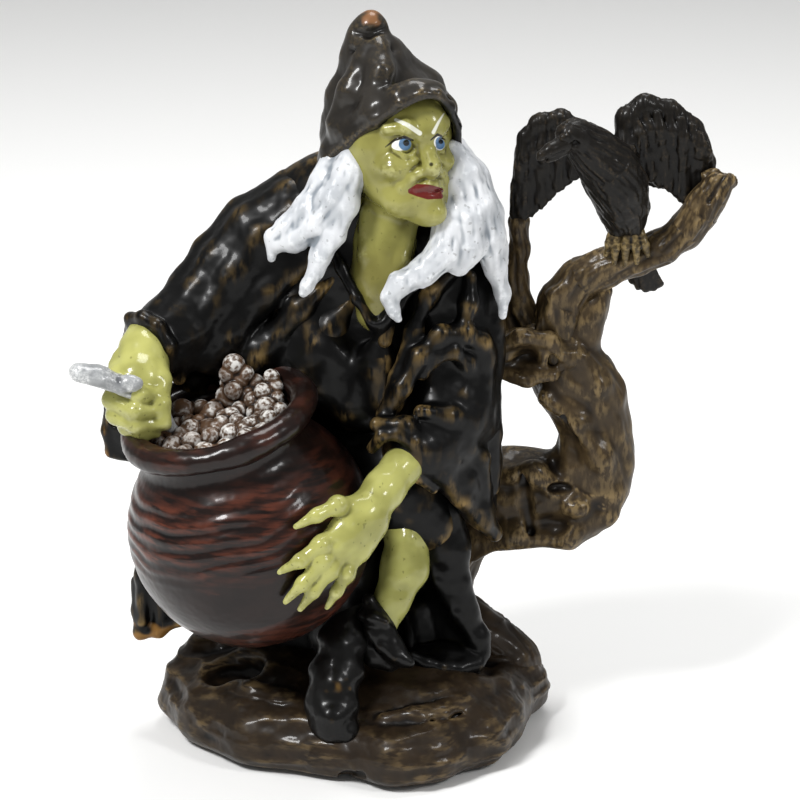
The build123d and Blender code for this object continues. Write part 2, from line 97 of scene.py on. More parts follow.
class Clay:
    """A block of distances in millimetres: below zero is resin, above it is air."""

    def __init__(self, low, high, step):
        self.low = np.array(low, np.float32)
        self.step = step
        self.field = np.full([int(math.ceil((b - a) / step)) + 1 for a, b in zip(low, high)], 6.0, np.float32)

    def window(self, low, high):
        """The part of the block between two corners, as slices and as coordinates along each axis."""
        first = np.clip(np.floor((np.array(low) - self.low) / self.step).astype(int), 0, self.field.shape)
        last = np.clip(np.ceil((np.array(high) - self.low) / self.step).astype(int) + 1, 0, self.field.shape)
        cells = tuple(slice(a, b) for a, b in zip(first, last))
        axes = [self.low[k] + self.step * np.arange(first[k], last[k], dtype=np.float32) for k in range(3)]
        return cells, np.ix_(*axes)

    def whole(self):
        """All of the block, as slices and as coordinates along each axis."""
        return self.window(self.low, self.low + self.step * np.array(self.field.shape))

    def set(self, cells, distance, soft, cut):
        """Joins a form on, or carves it out."""
        if 0 in self.field[cells].shape:
            return
        if cut:
            self.field[cells] = -join(-self.field[cells], distance, soft)
        else:
            self.field[cells] = join(self.field[cells], distance, soft)

    def tube(self, run, soft=0.6, flat=None, cut=False):
        """A tapering tube through (x, y, z, radius).
        flat is a direction and how many times thinner the tube is that way."""
        for a, b in zip(run, run[1:]):
            a, b = np.array(a, np.float32), np.array(b, np.float32)
            reach = max(a[3], b[3]) + soft + 1.2
            cells, (x, y, z) = self.window(np.minimum(a, b)[:3] - reach, np.maximum(a, b)[:3] + reach)
            ab = b[:3] - a[:3]
            t = np.clip(((x - a[0]) * ab[0] + (y - a[1]) * ab[1] + (z - a[2]) * ab[2]) / max(float(ab @ ab), 1e-6),
                        0, 1)
            qx, qy, qz = x - a[0] - t * ab[0], y - a[1] - t * ab[1], z - a[2] - t * ab[2]
            square = qx * qx + qy * qy + qz * qz
            if flat:
                n, times = flat
                square = square + (times * times - 1) * (qx * n[0] + qy * n[1] + qz * n[2]) ** 2
            self.set(cells, np.sqrt(square) - (a[3] + t * (b[3] - a[3])), soft, cut)

    def ball(self, centre, size, soft=0.6, cut=False, turn=None):
        """An ellipsoid with three half sizes, or a ball with one; turn is a 3 by 3 rotation of its axes."""
        size = np.array(size if np.ndim(size) else (size, size, size), np.float32)
        reach = float(size.max()) + soft + 1.2
        cells, (x, y, z) = self.window(np.array(centre) - reach, np.array(centre) + reach)
        p = [x - centre[0], y - centre[1], z - centre[2]]
        if turn is not None:
            p = [turn[0][k] * p[0] + turn[1][k] * p[1] + turn[2][k] * p[2] for k in range(3)]
        near = np.sqrt(sum((q / s) ** 2 for q, s in zip(p, size)))
        steep = np.sqrt(sum((q / (s * s)) ** 2 for q, s in zip(p, size)))
        self.set(cells, near * (near - 1) / np.maximum(steep, 1e-4), soft, cut)

    def below(self, height):
        """Cuts everything under a height away flat."""
        z = self.low[2] + self.step * np.arange(self.field.shape[2], dtype=np.float32)
        self.field = np.maximum(self.field, (height - z)[None, None, :])

    def skin(self):
        """The surface as points in millimetres and four-sided faces that look outwards."""
        grid = openvdb.FloatGrid(6.0)
        grid.copyFromArray(self.field)
        points, quads = grid.convertToQuads(isovalue=0.0)
        return points.astype(np.float64) * self.step + self.low.astype(np.float64), quads.astype(np.int64)


TABLES = {}


def grain(points, size, seed):
    """Smooth random values from -1 to 1 at points, in lumps of about a size or three sizes, always the same."""
    if seed not in TABLES:
        TABLES[seed] = np.random.default_rng(seed).uniform(-1, 1, (32, 32, 32))
    table = TABLES[seed]
    q = points / np.array(size if np.ndim(size) else (size, size, size)) + 977.3
    cell = np.floor(q).astype(int)
    f = q - cell
    f = f * f * (3 - 2 * f)
    total = 0
    for corner in range(8):
        bit = np.array([corner & 1, corner >> 1 & 1, corner >> 2 & 1])
        weight = np.prod(np.where(bit, f, 1 - f), axis=1)
        total = total + weight * table[tuple(((cell + bit) % 32).T)]
    return total


def normals_of(points, quads):
    """One unit direction out of the surface at each point."""
    across = points[quads[:, 2]] - points[quads[:, 0]]
    along = points[quads[:, 3]] - points[quads[:, 1]]
    face = np.cross(across, along)
    out = np.zeros_like(points)
    for k in range(3):
        out[:, k] = sum(np.bincount(quads[:, c], face[:, k], len(points)) for c in range(4))
    return out / np.maximum(np.linalg.norm(out, axis=1, keepdims=True), 1e-12)


def relief_of(points, quads, rounds):
    """How far each point stands proud of its smoothed surroundings, in millimetres; hollows are negative."""
    a = quads.ravel()
    b = np.roll(quads, 1, axis=1).ravel()
    count = np.bincount(a, minlength=len(points)) + np.bincount(b, minlength=len(points))
    smooth = points.copy()
    for _ in range(rounds):
        total = [np.bincount(a, smooth[b, k], len(points))
                 + np.bincount(b, smooth[a, k], len(points)) for k in range(3)]
        smooth = np.stack(total, axis=1) / np.maximum(count, 1)[:, None]
    return np.einsum("ij,ij->i", points - smooth, normals_of(points, quads))


def cast(name, clay, nodes, materials, rough=None, rounds=8, marks=None):
    """Skins a casting, works its surface, paints it and hangs it on the frame in place of its CAD nodes."""
    points, quads = clay.skin()
    if rough is not None:
        points = points + normals_of(points, quads) * rough(points)[:, None]
    mesh = bpy.data.meshes.new(name)
    mesh.from_pydata(((points + foot) / 1000).tolist(), [], quads.tolist())
    mesh.validate()
    for title, values in {"relief": relief_of(points, quads, rounds), **(marks(points) if marks else {})}.items():
        mesh.attributes.new(title, "FLOAT", "POINT").data.foreach_set("value", values.astype(np.float32))
    for material in materials:
        mesh.materials.append(material)
    mesh.polygons.foreach_set("use_smooth", np.ones(len(mesh.polygons), bool))
    piece = bpy.data.objects.new(name, mesh)
    bpy.context.scene.collection.objects.link(piece)
    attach(piece, "root")
    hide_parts(*nodes)


def linear(code):
    """A paint colour written as an sRGB hex code, turned linear."""
    parts = [int(code[k : k + 2], 16) / 255 for k in (0, 2, 4)]
    return [c / 12.92 if c < 0.04045 else ((c + 0.055) / 1.055) ** 2.4 for c in parts] + [1.0]


def add_node(tree, kind, settings=(), out=0, **feeds):
    """Adds a shader node and gives its output. A feed goes to the input of that number: i0=value or i0=an output."""
    made = tree.nodes.new(kind)
    for key, value in settings:
        setattr(made, key, value)
    for key, value in feeds.items():
        socket = made.inputs[int(key[1:])]
        if isinstance(value, bpy.types.NodeSocket):
            tree.links.new(value, socket)
        else:
            socket.default_value = value
    return made.outputs[out]


SMOOTH = [("interpolation_type", "SMOOTHSTEP")]
PRODUCT = [("operation", "MULTIPLY")]
COLOURS = [("data_type", "RGBA")]


def brushed_paint(name, ground, shade, rubbed, hollow=(-0.02, -0.16), ridge=(0.03, 0.14), patch=(0.42, 0.62),
                  rub=0.8,
                  rough=0.35, metal=0.0, varnish=0.4, streak=(1, 1, 1), patch_mm=9.0, bristle_mm=0.9, wear=None,
                  worn=0.0):
    """Hand-brushed acrylic on resin: a ground colour, a dark wash left in the hollows, a second colour dry-brushed
    over the ridges in patches by bristles, and a clear varnish. The limits are in millimetres of relief. A mesh may
    press the brush harder, or lift it, with an attribute of its own."""
    material = bpy.data.materials.new(name)
    material.use_nodes = True
    tree = material.node_tree
    shader = tree.nodes["Principled BSDF"]
    place = add_node(tree, "ShaderNodeTexCoord", out=3)
    relief = add_node(tree, "ShaderNodeAttribute", [("attribute_name", "relief")], out=2)
    cloud = add_node(tree, "ShaderNodeTexNoise", i0=place, i2=1 / 0.006, i3=2.0)
    drift = add_node(tree, "ShaderNodeMapRange", SMOOTH, i0=cloud, i1=0.3, i2=0.7, i3=0.0, i4=0.5)
    base = add_node(tree, "ShaderNodeMix", COLOURS, out=2, i0=drift, i6=linear(ground), i7=linear(shade))
    wash = add_node(tree, "ShaderNodeMapRange", SMOOTH, i0=relief, i1=hollow[0], i2=hollow[1], i3=0.0, i4=1.0)
    base = add_node(tree, "ShaderNodeMix", COLOURS, out=2, i0=wash, i6=base, i7=linear(shade))
    drawn = add_node(tree, "ShaderNodeMapping", i0=place, i3=streak)
    hairs = add_node(tree, "ShaderNodeTexNoise", i0=drawn, i2=1000 / bristle_mm, i3=4.0)
    bristles = add_node(tree, "ShaderNodeMapRange", SMOOTH, i0=hairs, i1=0.38, i2=0.62, i3=0.0, i4=1.0)
    spread = add_node(tree, "ShaderNodeTexNoise", i0=place, i2=1000 / patch_mm, i3=2.0)
    where = add_node(tree, "ShaderNodeMapRange", SMOOTH, i0=spread, i1=patch[0], i2=patch[1], i3=0.0, i4=rub)
    proud = add_node(tree, "ShaderNodeMapRange", SMOOTH, i0=relief, i1=ridge[0], i2=ridge[1], i3=0.0, i4=1.0)
    press = add_node(tree, "ShaderNodeAttribute", [("attribute_name", "press")], out=2)
    where = add_node(tree, "ShaderNodeMath", [("operation", "ADD"), ("use_clamp", True)], i0=where, i1=press)
    share = add_node(tree, "ShaderNodeMath", PRODUCT, i0=proud, i1=bristles)
    share = add_node(tree, "ShaderNodeMath", PRODUCT, i0=share, i1=where)
    base = add_node(tree, "ShaderNodeMix", COLOURS, out=2, i0=share, i6=base, i7=linear(rubbed))
    if wear:
        dots = add_node(tree, "ShaderNodeTexNoise", i0=place, i2=1 / 0.0011, i3=1.0)
        specks = add_node(tree, "ShaderNodeMapRange", SMOOTH, i0=dots, i1=0.69, i2=0.72, i3=0.0, i4=worn)
        base = add_node(tree, "ShaderNodeMix", COLOURS, out=2, i0=specks, i6=base, i7=linear(wear))
    tree.links.new(base, shader.inputs["Base Color"])
    if metal:
        shine = add_node(tree, "ShaderNodeMath", PRODUCT, i0=share, i1=metal)
        tree.links.new(shine, shader.inputs["Metallic"])
    shader.inputs["Roughness"].default_value = rough
    shader.inputs["Coat Weight"].default_value = varnish
    shader.inputs["Coat Roughness"].default_value = 0.12
    shader.inputs["Specular IOR Level"].default_value = 0.16
    shader.inputs["IOR"].default_value = 1.45
    return material


def overpaint(material, title, colour, soft=0.12, cover=1.0):
    """A further coat in one colour where an attribute of that title, in millimetres, is above zero."""
    tree = material.node_tree
    coat = tree.nodes["Principled BSDF"].inputs["Base Color"]
    inside = add_node(tree, "ShaderNodeAttribute", [("attribute_name", title)], out=2)
    edge = add_node(tree, "ShaderNodeMapRange", SMOOTH, i0=inside, i1=0.01, i2=0.01 + soft, i3=0.0, i4=cover)
    both = add_node(tree, "ShaderNodeMix", COLOURS, out=2, i0=edge, i6=coat.links[0].from_socket, i7=linear(colour))
    tree.links.new(both, coat)


# dark brown paint over the rock, dry-brushed tan in broad strokes that run along the ledges
rock_paint = brushed_paint("rock_brown_satin_paint", "2b2116", "0b0806", "6f5d40", hollow=(0.0, -0.22),
                           ridge=(0.0, 0.24),
                           patch=(0.3, 0.6), rub=0.6, rough=0.45, varnish=0.2, streak=(0.35, 0.35, 1.2),
                           patch_mm=14.0)

rock = Clay((-54, -38, -1), (38, 38, 30), 0.42)
rim = [(-44, 6), (-39, -4), (-28.5, -15), (-13, -20.5), (-1, -26), (6, -23.5), (15.5, -16), (19, -8), (21, 2),
       (25, 11), (23, 18), (12, 24), (-10, 26), (-30, 21), (-41.5, 13), (-44, 6)]
rock.tube([(x, y, 5.4, 5.2) for x, y in rim], soft=5.0)
rock.ball((-11, 1, 5), (33, 24, 12.5), soft=6.0)
rock.ball((4, -8, 10), (13, 11, 8.5), soft=5.0)
rock.ball((-26, 6, 9), (15, 13, 7.5), soft=5.0)
rock.tube([(-45, 9, 9.5, 3.6), (-41.5, 12, 12.5, 3.6), (-33, 13, 14.5, 4.4), (-24, 12, 15, 5)], soft=3.0)
rock.tube([(15, 13, 14.5, 4.2), (20, 11.5, 11.4, 4.6), (23, 10.5, 6.5, 4.8)], soft=3.0)
# ledges that run round the front, one over another
for ledge in [
    [(-46, -1, 7.5, 1.3), (-38, -11.5, 6.8, 1.8), (-29, -17.5, 6.5, 1.8), (-17, -22, 6.0, 1.6),
     (-6, -27, 5.5, 1.8)],
    [(-40, -5, 10, 1.4), (-31, -14.5, 10.5, 2.0), (-22, -18.5, 10.5, 1.9), (-13, -23.5, 8.5, 1.7),
     (-4, -27, 7.5, 1.4)],
    [(-36, -5, 13, 1.6), (-30.5, -11.5, 14.2, 1.7), (-24, -14.5, 13.6, 1.8), (-18, -17.5, 11.5, 1.4)],
    [(-3, -22.5, 12.2, 1.3), (3, -22, 13, 1.7), (8.5, -20, 13, 1.5), (13, -15.5, 12.8, 1.3)],
    [(1, -26, 8.5, 1.4), (6, -24, 8.2, 1.8), (12, -20.5, 9.2, 1.6), (17.5, -14.5, 10.2, 1.4)],
    [(-2, -29.5, 3.6, 1.7), (4, -29, 3.6, 2.0), (10, -24, 3.8, 1.8), (17, -18, 4.2, 1.8), (21, -10, 5.0, 1.6)],
    [(-44, 2, 4.0, 1.5), (-34, -12.5, 3.4, 1.7), (-24, -20, 3.0, 1.5), (-12, -24.5, 3.0, 1.6)],
    [(21.5, 4, 11, 2.0), (20.5, -4, 11.5, 2.0), (16, -9, 12.5, 2.4), (12, -8, 13, 2.6)],
    [(22, 20, 9, 2.2), (10, 26, 10, 2.6), (-8, 28, 9.5, 2.4), (-26, 25.5, 9, 2.4), (-38, 18, 8, 2.0)],
    [(12, 22, 14, 2.2), (-4, 25, 15, 2.6), (-20, 22.5, 14.5, 2.4), (-33, 17, 13, 2.0)],
]:
    rock.tube(ledge, soft=1.6, flat=((0, 0, 1), 1.25))
rock.ball((14, -9.5, 12.8), 2.9, soft=0.7)
rock.ball((20.2, -7.5, 8.2), 2.4, soft=0.6)
rock.ball((-41, -8.5, 7.0), 1.7, soft=0.5)
rock.ball((-37.2, -11.5, 7.4), 1.5, soft=0.5)
# the deep pocket at the left, creases between the ledges and pits at the edge
rock.ball((-34, -2, 13.5), (6.5, 5.0, 4.5), soft=2.2, cut=True)
for crease in [
    [(-35, -9.8, 9.4, 0.8), (-32, -13.4, 8.6, 0.9), (-27, -17.5, 8.4, 0.7)],
    [(0, -24.6, 10.6, 0.6), (6, -22.6, 10.9, 0.8), (12, -18.6, 11.4, 0.6)],
    [(12.5, -18.8, 6.6, 0.6), (17, -13.6, 7.6, 0.8), (18.6, -10.6, 10, 0.7)],
    [(-11, -25.5, 1.6, 1.3), (-8, -28, 2.6, 1.0), (-4, -29, 5.8, 0.6)],
    [(5, -27.5, 6.0, 0.7), (11, -23.4, 6.3, 0.6)],
    [(-30, -19, 5.0, 0.8), (-20, -22.4, 4.6, 0.7)],
]:
    rock.tube(crease, soft=0.8, cut=True)
for pit in [(-35, -14.2, 7.2), (-33, -15.4, 4.8), (2, -28.6, 5.8), (26.6, 6.8, 7.4)]:
    rock.ball(pit, (1.3, 1.0, 1.0), soft=0.5, cut=True)
rock.below(1.0)


def rock_surface(p):
    """Worn ledges: long low ripples, chipped by finer lumps, with the underside left flat."""
    ripple = 1 - np.abs(grain(p, (11, 11, 2.6), 11)) * 2
    chip = grain(p, (3.2, 3.2, 1.5), 12)
    return np.clip((p[:, 2] - 1.2) / 1.5, 0, 1) * (0.42 * ripple + 0.22 * chip + 0.07 * grain(p, 0.9, 13))


cast("rock_mound", rock, ["ground_base"], [rock_paint], rock_surface, rounds=14)

# ---------------------------------------------------------------- bumper pads
# Four soft clear polyurethane bumpers with domed edges, stuck under the mound.

# clear soft polyurethane, a little yellowed
pad_clear = bpy.data.materials.new("clear_polyurethane")
pad_clear.use_nodes = True
shader = pad_clear.node_tree.nodes["Principled BSDF"]
shader.inputs["Base Color"].default_value = linear("eeecd2")
shader.inputs["Roughness"].default_value = 0.12
shader.inputs["Transmission Weight"].default_value = 0.75
shader.inputs["IOR"].default_value = 1.48
for number in range(1, 5):
    low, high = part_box(f"base_pad_{number}")
    low, high = np.array(low) * 1000 - foot, np.array(high) * 1000 - foot
    centre, radius = (low + high) / 2, (high[0] - low[0]) / 2
    pad = Clay(low - 0.6, high + 0.6, 0.14)
    cells, (x, y, z) = pad.window(low - 0.6, high + 0.6)
    radial = np.sqrt((x - centre[0]) ** 2 + (y - centre[1]) ** 2) - (radius - 0.35)
    level = np.abs(z - centre[2]) - (centre[2] - low[2] - 0.35)
    outside = np.sqrt(np.maximum(radial, 0) ** 2 + np.maximum(level, 0) ** 2)
    rounded = outside + np.minimum(np.maximum(radial, level), 0)
    pad.set(cells, rounded - 0.35, 0.01, False)
    cast(f"bumper_{number}", pad, [f"base_pad_{number}"], [pad_clear])

# ---------------------------------------------------------------- tree
# A gnarled trunk, its root, a knot with a hollow, the perch branch with a broken end and a thin branch. They are
# cast resin over dowels, with long grain that follows each limb, painted olive brown and dry-brushed with tan.

# olive-brown paint with tan bristle marks along the wood and dark wash in the grain
bark_paint = brushed_paint("bark_brown_satin_paint", "3b2f1e", "130e09", "8a7550", hollow=(0.02, -0.24),
                           ridge=(-0.1, 0.22), patch=(0.3, 0.62), rub=0.75, rough=0.45, varnish=0.15,
                           streak=(1.0, 1.0, 0.4), patch_mm=10.0)


def grain_along(points, run, size, seed):
    """Long grain that follows a limb: noise stretched along it and wound lightly round it."""
    run = np.array(run, float)
    best = np.full(len(points), 1e9)
    where = np.zeros((len(points), 3))
    start = 0.0
    for a, b in zip(run[:, :3], run[1:, :3]):
        ab = b - a
        length = np.linalg.norm(ab)
        t = np.clip(((points - a) @ ab) / (length * length), 0, 1)
        off = points - a - t[:, None] * ab
        side = np.cross(ab / length, (0.31, 0.2, 0.93) if abs(ab[2]) < 0.8 * length else (0.95, 0.3, 0.1))
        side /= np.linalg.norm(side)
        other = np.cross(ab / length, side)
        gap = np.linalg.norm(off, axis=1)
        s = start + t * length
        turn = np.arctan2(off @ other, off @ side) + s * 0.045
        closer = gap < best
        spot = np.stack([np.cos(turn) * 4.2, np.sin(turn) * 4.2, s * 0.17], axis=1)
        where[closer] = spot[closer]
        best = np.minimum(best, gap)
        start += length
    return grain(where, size, seed)


trunk_run = [(8, 17, 9, 9.0), (7.5, 17.4, 20, 7.4), (8.5, 17.5, 29, 6.8), (11.2, 17.2, 37.5, 7.3),
             (17, 16.4, 44.2, 8.6),
             (23.5, 15, 47.2, 9.4), (30, 13.4, 46.9, 9.6), (35.6, 12.4, 47.5, 9.0), (39.2, 11.6, 51, 7.8),
             (40.4, 11.2, 57, 7.2), (40.2, 11, 63.5, 6.7), (38.4, 11, 69.5, 7.4), (35.2, 11, 74, 7.6),
             (32.8, 10.8, 79.5, 6.2), (32.2, 10.4, 86.5, 5.0)]
branch_run = [(32, 10.4, 83, 5.2), (32.8, 9.9, 90, 4.5), (36.6, 9.2, 95, 3.9), (41.5, 8.3, 97.6, 3.5),
              (47, 7.5, 99.7, 3.3), (52.5, 7, 102, 3.1), (57, 6.4, 105.6, 3.1), (60, 6, 109.6, 3.1),
              (62.2, 5.6, 113.4, 2.7), (64.2, 5.2, 116, 2.4)]
twig_run = [(27, 10.6, 82, 3.6), (24.6, 11.6, 88, 2.7), (23.9, 12.2, 94, 2.0), (24.4, 12.6, 100, 1.8),
            (24.0, 12.6, 106, 2.2)]
trunk = Clay((-3, 2, 1), (52, 34, 95), 0.42)
trunk.tube(trunk_run, soft=3.0, flat=((0, 1, 0), 1.2))
# muscles of wood that swell and wind round the trunk
for swell in [
    [(11, 10.5, 31, 1.8), (15.5, 9.6, 38, 2.4), (24, 7.6, 40.6, 2.6), (35, 6.6, 41.4, 2.8), (42.4, 7.4, 46, 2.6),
     (45.4, 9, 55, 1.8)],
    [(12, 23, 34, 3.0), (26, 21, 46, 3.0), (38, 17.6, 54, 2.4), (39, 16, 68, 2.2), (33, 15.5, 80, 2.4)],
    [(29.6, 5.2, 71, 1.6), (36, 4.6, 65.4, 1.9), (41, 5.2, 58.6, 1.9), (43.6, 6.6, 50, 1.8)],
    [(44, 8, 70, 1.4), (40.6, 6.0, 74, 1.8), (36.6, 5.4, 80, 1.6)],
    [(20.6, 8.2, 53.6, 2.0), (27.6, 6.4, 54.4, 2.0), (31.4, 5.2, 51.6, 1.6)],
    [(36.4, 9.4, 79, 2.6), (37.8, 9.4, 84, 3.0), (38.8, 9.2, 88.6, 3.0), (41, 8.8, 92.4, 2.0)],
]:
    trunk.tube(swell, soft=2.4)
trunk.ball((36.0, 4.6, 47.8), (2.8, 2.0, 1.8), soft=1.6)
trunk.ball((33.0, 3.8, 51.8), (2.7, 2.6, 1.2), soft=0.9, cut=True)
trunk.ball((30.8, 4.2, 43.6), (3.8, 2.6, 2.2), soft=1.8, cut=True)
trunk.tube([(33.4, 4.6, 67.4, 1.0), (34.4, 4.2, 62, 1.6), (35.0, 4.2, 57.6, 1.5)], soft=1.2, cut=True)
trunk.tube([(25.4, 6.0, 54, 0.9), (25.8, 5.4, 47.6, 1.1), (27, 6.2, 41.6, 0.9)], soft=1.4, cut=True)
trunk.below(3.0)


def wood_surface(run, deep):
    """Grain furrows of a depth along a limb, with coarser knobs over them."""
    return lambda p: deep * (grain_along(p, run, 1.2, 21)
                             + 0.4 * grain_along(p, run, 0.5, 22)) + 0.3 * grain(p, 3.0, 23)


cast("trunk_wood", trunk, ["tree_trunk"], [bark_paint], wood_surface(trunk_run, 0.26), rounds=8)

knot_run = [(34, 10, 79, 6.0), (27.5, 9, 80.2, 5.0), (21.5, 9, 79.4, 4.4)]
knot = Clay((12, -1, 68), (42, 20, 92), 0.34)
knot.tube(knot_run, soft=3.0)
knot.tube([(19.5, 5, 82, 1.5), (24, 3.6, 84.4, 1.5), (30, 4.2, 83.6, 1.6), (34, 5, 79, 1.3)], soft=1.6)
knot.tube([(20, 4.6, 76.6, 1.3), (26, 3.4, 75.6, 1.5), (31, 4.2, 76, 1.4)], soft=1.6)
knot.ball((25.4, 3.0, 79.6), (3.0, 3.6, 2.4), soft=1.2, cut=True)
knot.ball((30.8, 4.4, 79.4), (1.0, 1.8, 1.6), soft=0.8, cut=True)
cast("knot_wood", knot, ["trunk_knot"], [bark_paint], wood_surface(knot_run, 0.3), rounds=8)

root = Clay((2, 0, 0), (36, 30, 32), 0.38)
root.tube([(9, 16, 22, 4.6), (12.3, 15, 19.8, 5.0), (16.3, 14, 16.8, 5.0), (20.2, 13.2, 13.6, 5.1),
           (23.6, 12.6, 10.6, 5.2),
           (24.4, 12, 6.5, 5.0)], soft=3.0)
root.tube([(13, 9.8, 20.6, 1.8), (19, 9.4, 16.2, 2.2), (24.2, 9.0, 11.4, 2.2), (26.4, 8.8, 6, 1.8)], soft=2.0)
root.ball((25.4, 6.6, 8.0), (1.2, 1.4, 1.5), soft=0.8, cut=True)
root.below(2.0)
# its grain runs down the outer side, into the mound
root_grain = [(17, 17, 26), (22.5, 15.5, 19.5), (26, 13.4, 12), (27, 12.4, 6)]
cast("root_wood", root, ["tree_root"], [rock_paint], wood_surface(root_grain, 0.4), rounds=8)

branch = Clay((24, -1, 76), (71, 20, 122), 0.3)
branch.tube(branch_run, soft=2.5)
branch.tube([(28.4, 7, 84, 1.6), (31, 6.0, 92, 1.4), (37.5, 5.4, 97.2, 1.0), (46, 4.6, 100.2, 0.8)], soft=1.2)
branch.tube([(47.5, 4.4, 98.2, 0.7), (54, 3.8, 101.2, 0.8), (59.6, 3.0, 108, 0.8), (62.6, 3.0, 113.4, 0.7)],
            soft=0.9)
# the end is snapped off square, with a raised splintered rim and a split
branch.tube([(62.4, 3.8, 116.3, 0.9), (65.2, 3.4, 116.9, 0.8), (66.4, 5.2, 115.8, 0.8), (65.4, 7.4, 115, 0.8)],
            soft=0.9)
branch.tube([(60.6, 6.2, 117, 0.8), (63, 7.2, 117.4, 0.8)], soft=1.0)
branch.ball((64.4, 5.4, 118.6), (2.0, 1.6, 1.6), soft=0.6, cut=True)
branch.tube([(61.4, 2.4, 112.6, 0.5), (63.4, 2.2, 115.4, 0.6), (64.2, 2.6, 117.8, 0.6)], soft=0.5, cut=True)
cast("branch_wood", branch, ["perch_branch"], [bark_paint], wood_surface(branch_run, 0.3), rounds=8)

twig = Clay((18, 5, 76), (33, 20, 112), 0.3)
twig.tube(twig_run, soft=1.6)
twig.tube([(22.2, 10, 84, 1.2), (22.4, 11, 92, 0.8), (22.9, 11.8, 101, 0.6)], soft=0.9)
cast("twig_wood", twig, ["thin_branch"], [bark_paint], wood_surface(twig_run, 0.2), rounds=8)

# ---------------------------------------------------------------- raven
# The bird perches half open-winged on the branch. Its body, beak, wings, tail and feet are cast resin, painted
# black-brown and barely rubbed with brown, so that the feathers catch the light.

# black-brown paint, nearly matt, rubbed with brown on the feather edges
raven_paint = brushed_paint("raven_black_matt_paint", "14110d", "060505", "3f3527", hollow=(0.0, -0.1),
                            ridge=(0.0, 0.09), patch=(0.35, 0.65), rub=0.6, rough=0.46, varnish=0.12, patch_mm=7.0,
                            bristle_mm=0.6)
# the claws are rubbed with the same tan as the bark
claw_paint = brushed_paint("claw_tan_satin_paint", "4c4029", "120e09", "8a7750", hollow=(0.0, -0.06),
                           ridge=(-0.02, 0.05), patch=(0.2, 0.5), rub=0.8, rough=0.4, varnish=0.2, patch_mm=5.0)
body_run = [(45.2, 4.2, 108.2, 3.0), (44.6, 3.4, 111, 4.4), (43.0, 1.6, 116, 5.3), (40.8, 0.2, 120.2, 5.1),
            (37.6, -1.6, 124, 4.0), (35.0, -3.6, 126.8, 3.3)]
raven = Clay((26, -13, 98), (54, 14, 134), 0.24)
raven.tube(body_run, soft=3.0, flat=((0, 1, 0), 1.05))
raven.ball((33.8, -4.4, 127.5), (3.5, 3.1, 3.0), soft=1.4)
raven.tube([(33.4, -6.6, 128.0, 0.7), (31.6, -7.0, 127.4, 0.6)], soft=0.7)
raven.ball((32.3, -6.7, 127.2), 0.62, soft=0.2)
raven.ball((34.0, -7.0, 126.2), (0.9, 0.6, 0.7), soft=0.6, cut=True)
# thigh feathers and the shoulders that the wings spring from
raven.tube([(42.4, 3.4, 110.4, 2.4), (42.8, 3.4, 106.4, 1.3)], soft=1.4)
raven.tube([(46.6, 3.8, 110.4, 2.4), (47.0, 3.6, 106.4, 1.3)], soft=1.4)
raven.tube([(37.4, 2.6, 121, 2.6), (34.8, 7.4, 122.6, 2.2)], soft=2.0)
raven.tube([(43.2, 3.0, 119.6, 2.8), (45.2, 6.4, 121.4, 2.4)], soft=2.0)


def plumage(p):
    """Fine ruffled feathers that run down the breast."""
    return 0.26 * grain_along(p, body_run, 0.55, 31) + 0.1 * grain(p, (0.7, 0.7, 1.6), 32)


cast("raven_plumage", raven, ["raven_body"], [raven_paint], plumage, rounds=6)

beak = Clay((23, -13, 119), (36, -1, 130), 0.2)
beak.tube([(32.0, -5.6, 126.0, 1.9), (29.2, -7.0, 125.0, 1.35), (27.4, -8.0, 124.2, 0.8), (26.8, -8.3, 123.5, 0.4)],
          soft=0.8)
beak.tube([(32.0, -5.4, 124.8, 1.2), (30.0, -6.6, 123.6, 0.8), (28.6, -7.4, 122.9, 0.4)], soft=0.3)
beak.tube([(31.8, -7.2, 124.9, 0.22), (29.4, -8.2, 124.0, 0.22), (27.6, -8.8, 123.2, 0.2)], soft=0.25, cut=True)
cast("raven_beak_horn", beak, ["raven_beak"], [raven_paint], rounds=5)


def fan(clay, roots, tips, width, lift, soft=0.5):
    """Lays one flat feather from each root to its tip, each overlapping the last."""
    for k, ((ax, ay, az), (bx, by, bz)) in enumerate(zip(roots, tips)):
        step = lift * (k % 2)
        mid = ((ax + bx) / 2, (ay + by) / 2 - step - 0.5, (az + bz) / 2)
        shaft = [(ax, ay - step, az, 0.7 * width), (*mid, width),
                 (0.2 * mid[0] + 0.8 * bx, by - step, 0.2 * mid[2] + 0.8 * bz, 0.85 * width),
                 (bx, by - step, bz, 0.3 * width)]
        clay.tube(shaft, soft=soft, flat=((0, 1, 0), 1.9))


near = Clay((18, 3, 100), (42, 18, 134), 0.26)
near.tube([(37, 7.5, 121.5, 2.0), (35.5, 9.2, 125.6, 1.9), (32, 10.2, 127.6, 1.9), (28, 10.8, 126.6, 1.9),
           (25.4, 11, 123.6, 1.7), (24.4, 11, 120.4, 1.4)], soft=1.2, flat=((0, 1, 0), 1.2))
near_tips = [(23.4, 11.4, 106.4), (24.9, 11.2, 106.6), (26.6, 11, 107.6), (28.4, 10.8, 109.4), (30.1, 10.5, 111.2),
             (31.8, 10.2, 113.0), (33.4, 9.8, 114.6), (34.8, 9.2, 116.0)]
near_roots = [(24.2, 11.2, 121), (25.2, 11.2, 123.4), (26.8, 11, 125), (28.6, 10.8, 125.6), (30.6, 10.6, 125.8),
              (32.4, 10.2, 125.4), (34, 9.6, 124.6), (35.4, 9, 123.2)]
near.ball((30.5, 11.2, 119.5), (6.0, 1.2, 6.4), soft=1.0)
fan(near, near_roots, near_tips, 1.6, 0.3)
near_coverts = [tuple(a + 0.42 * (b - a) for a, b in zip(r, t)) for r, t in zip(near_roots, near_tips)]
fan(near, [(x, y - 0.9, z) for x, y, z in near_roots], [(x, y - 1.1, z) for x, y, z in near_coverts], 1.25, 0.3)
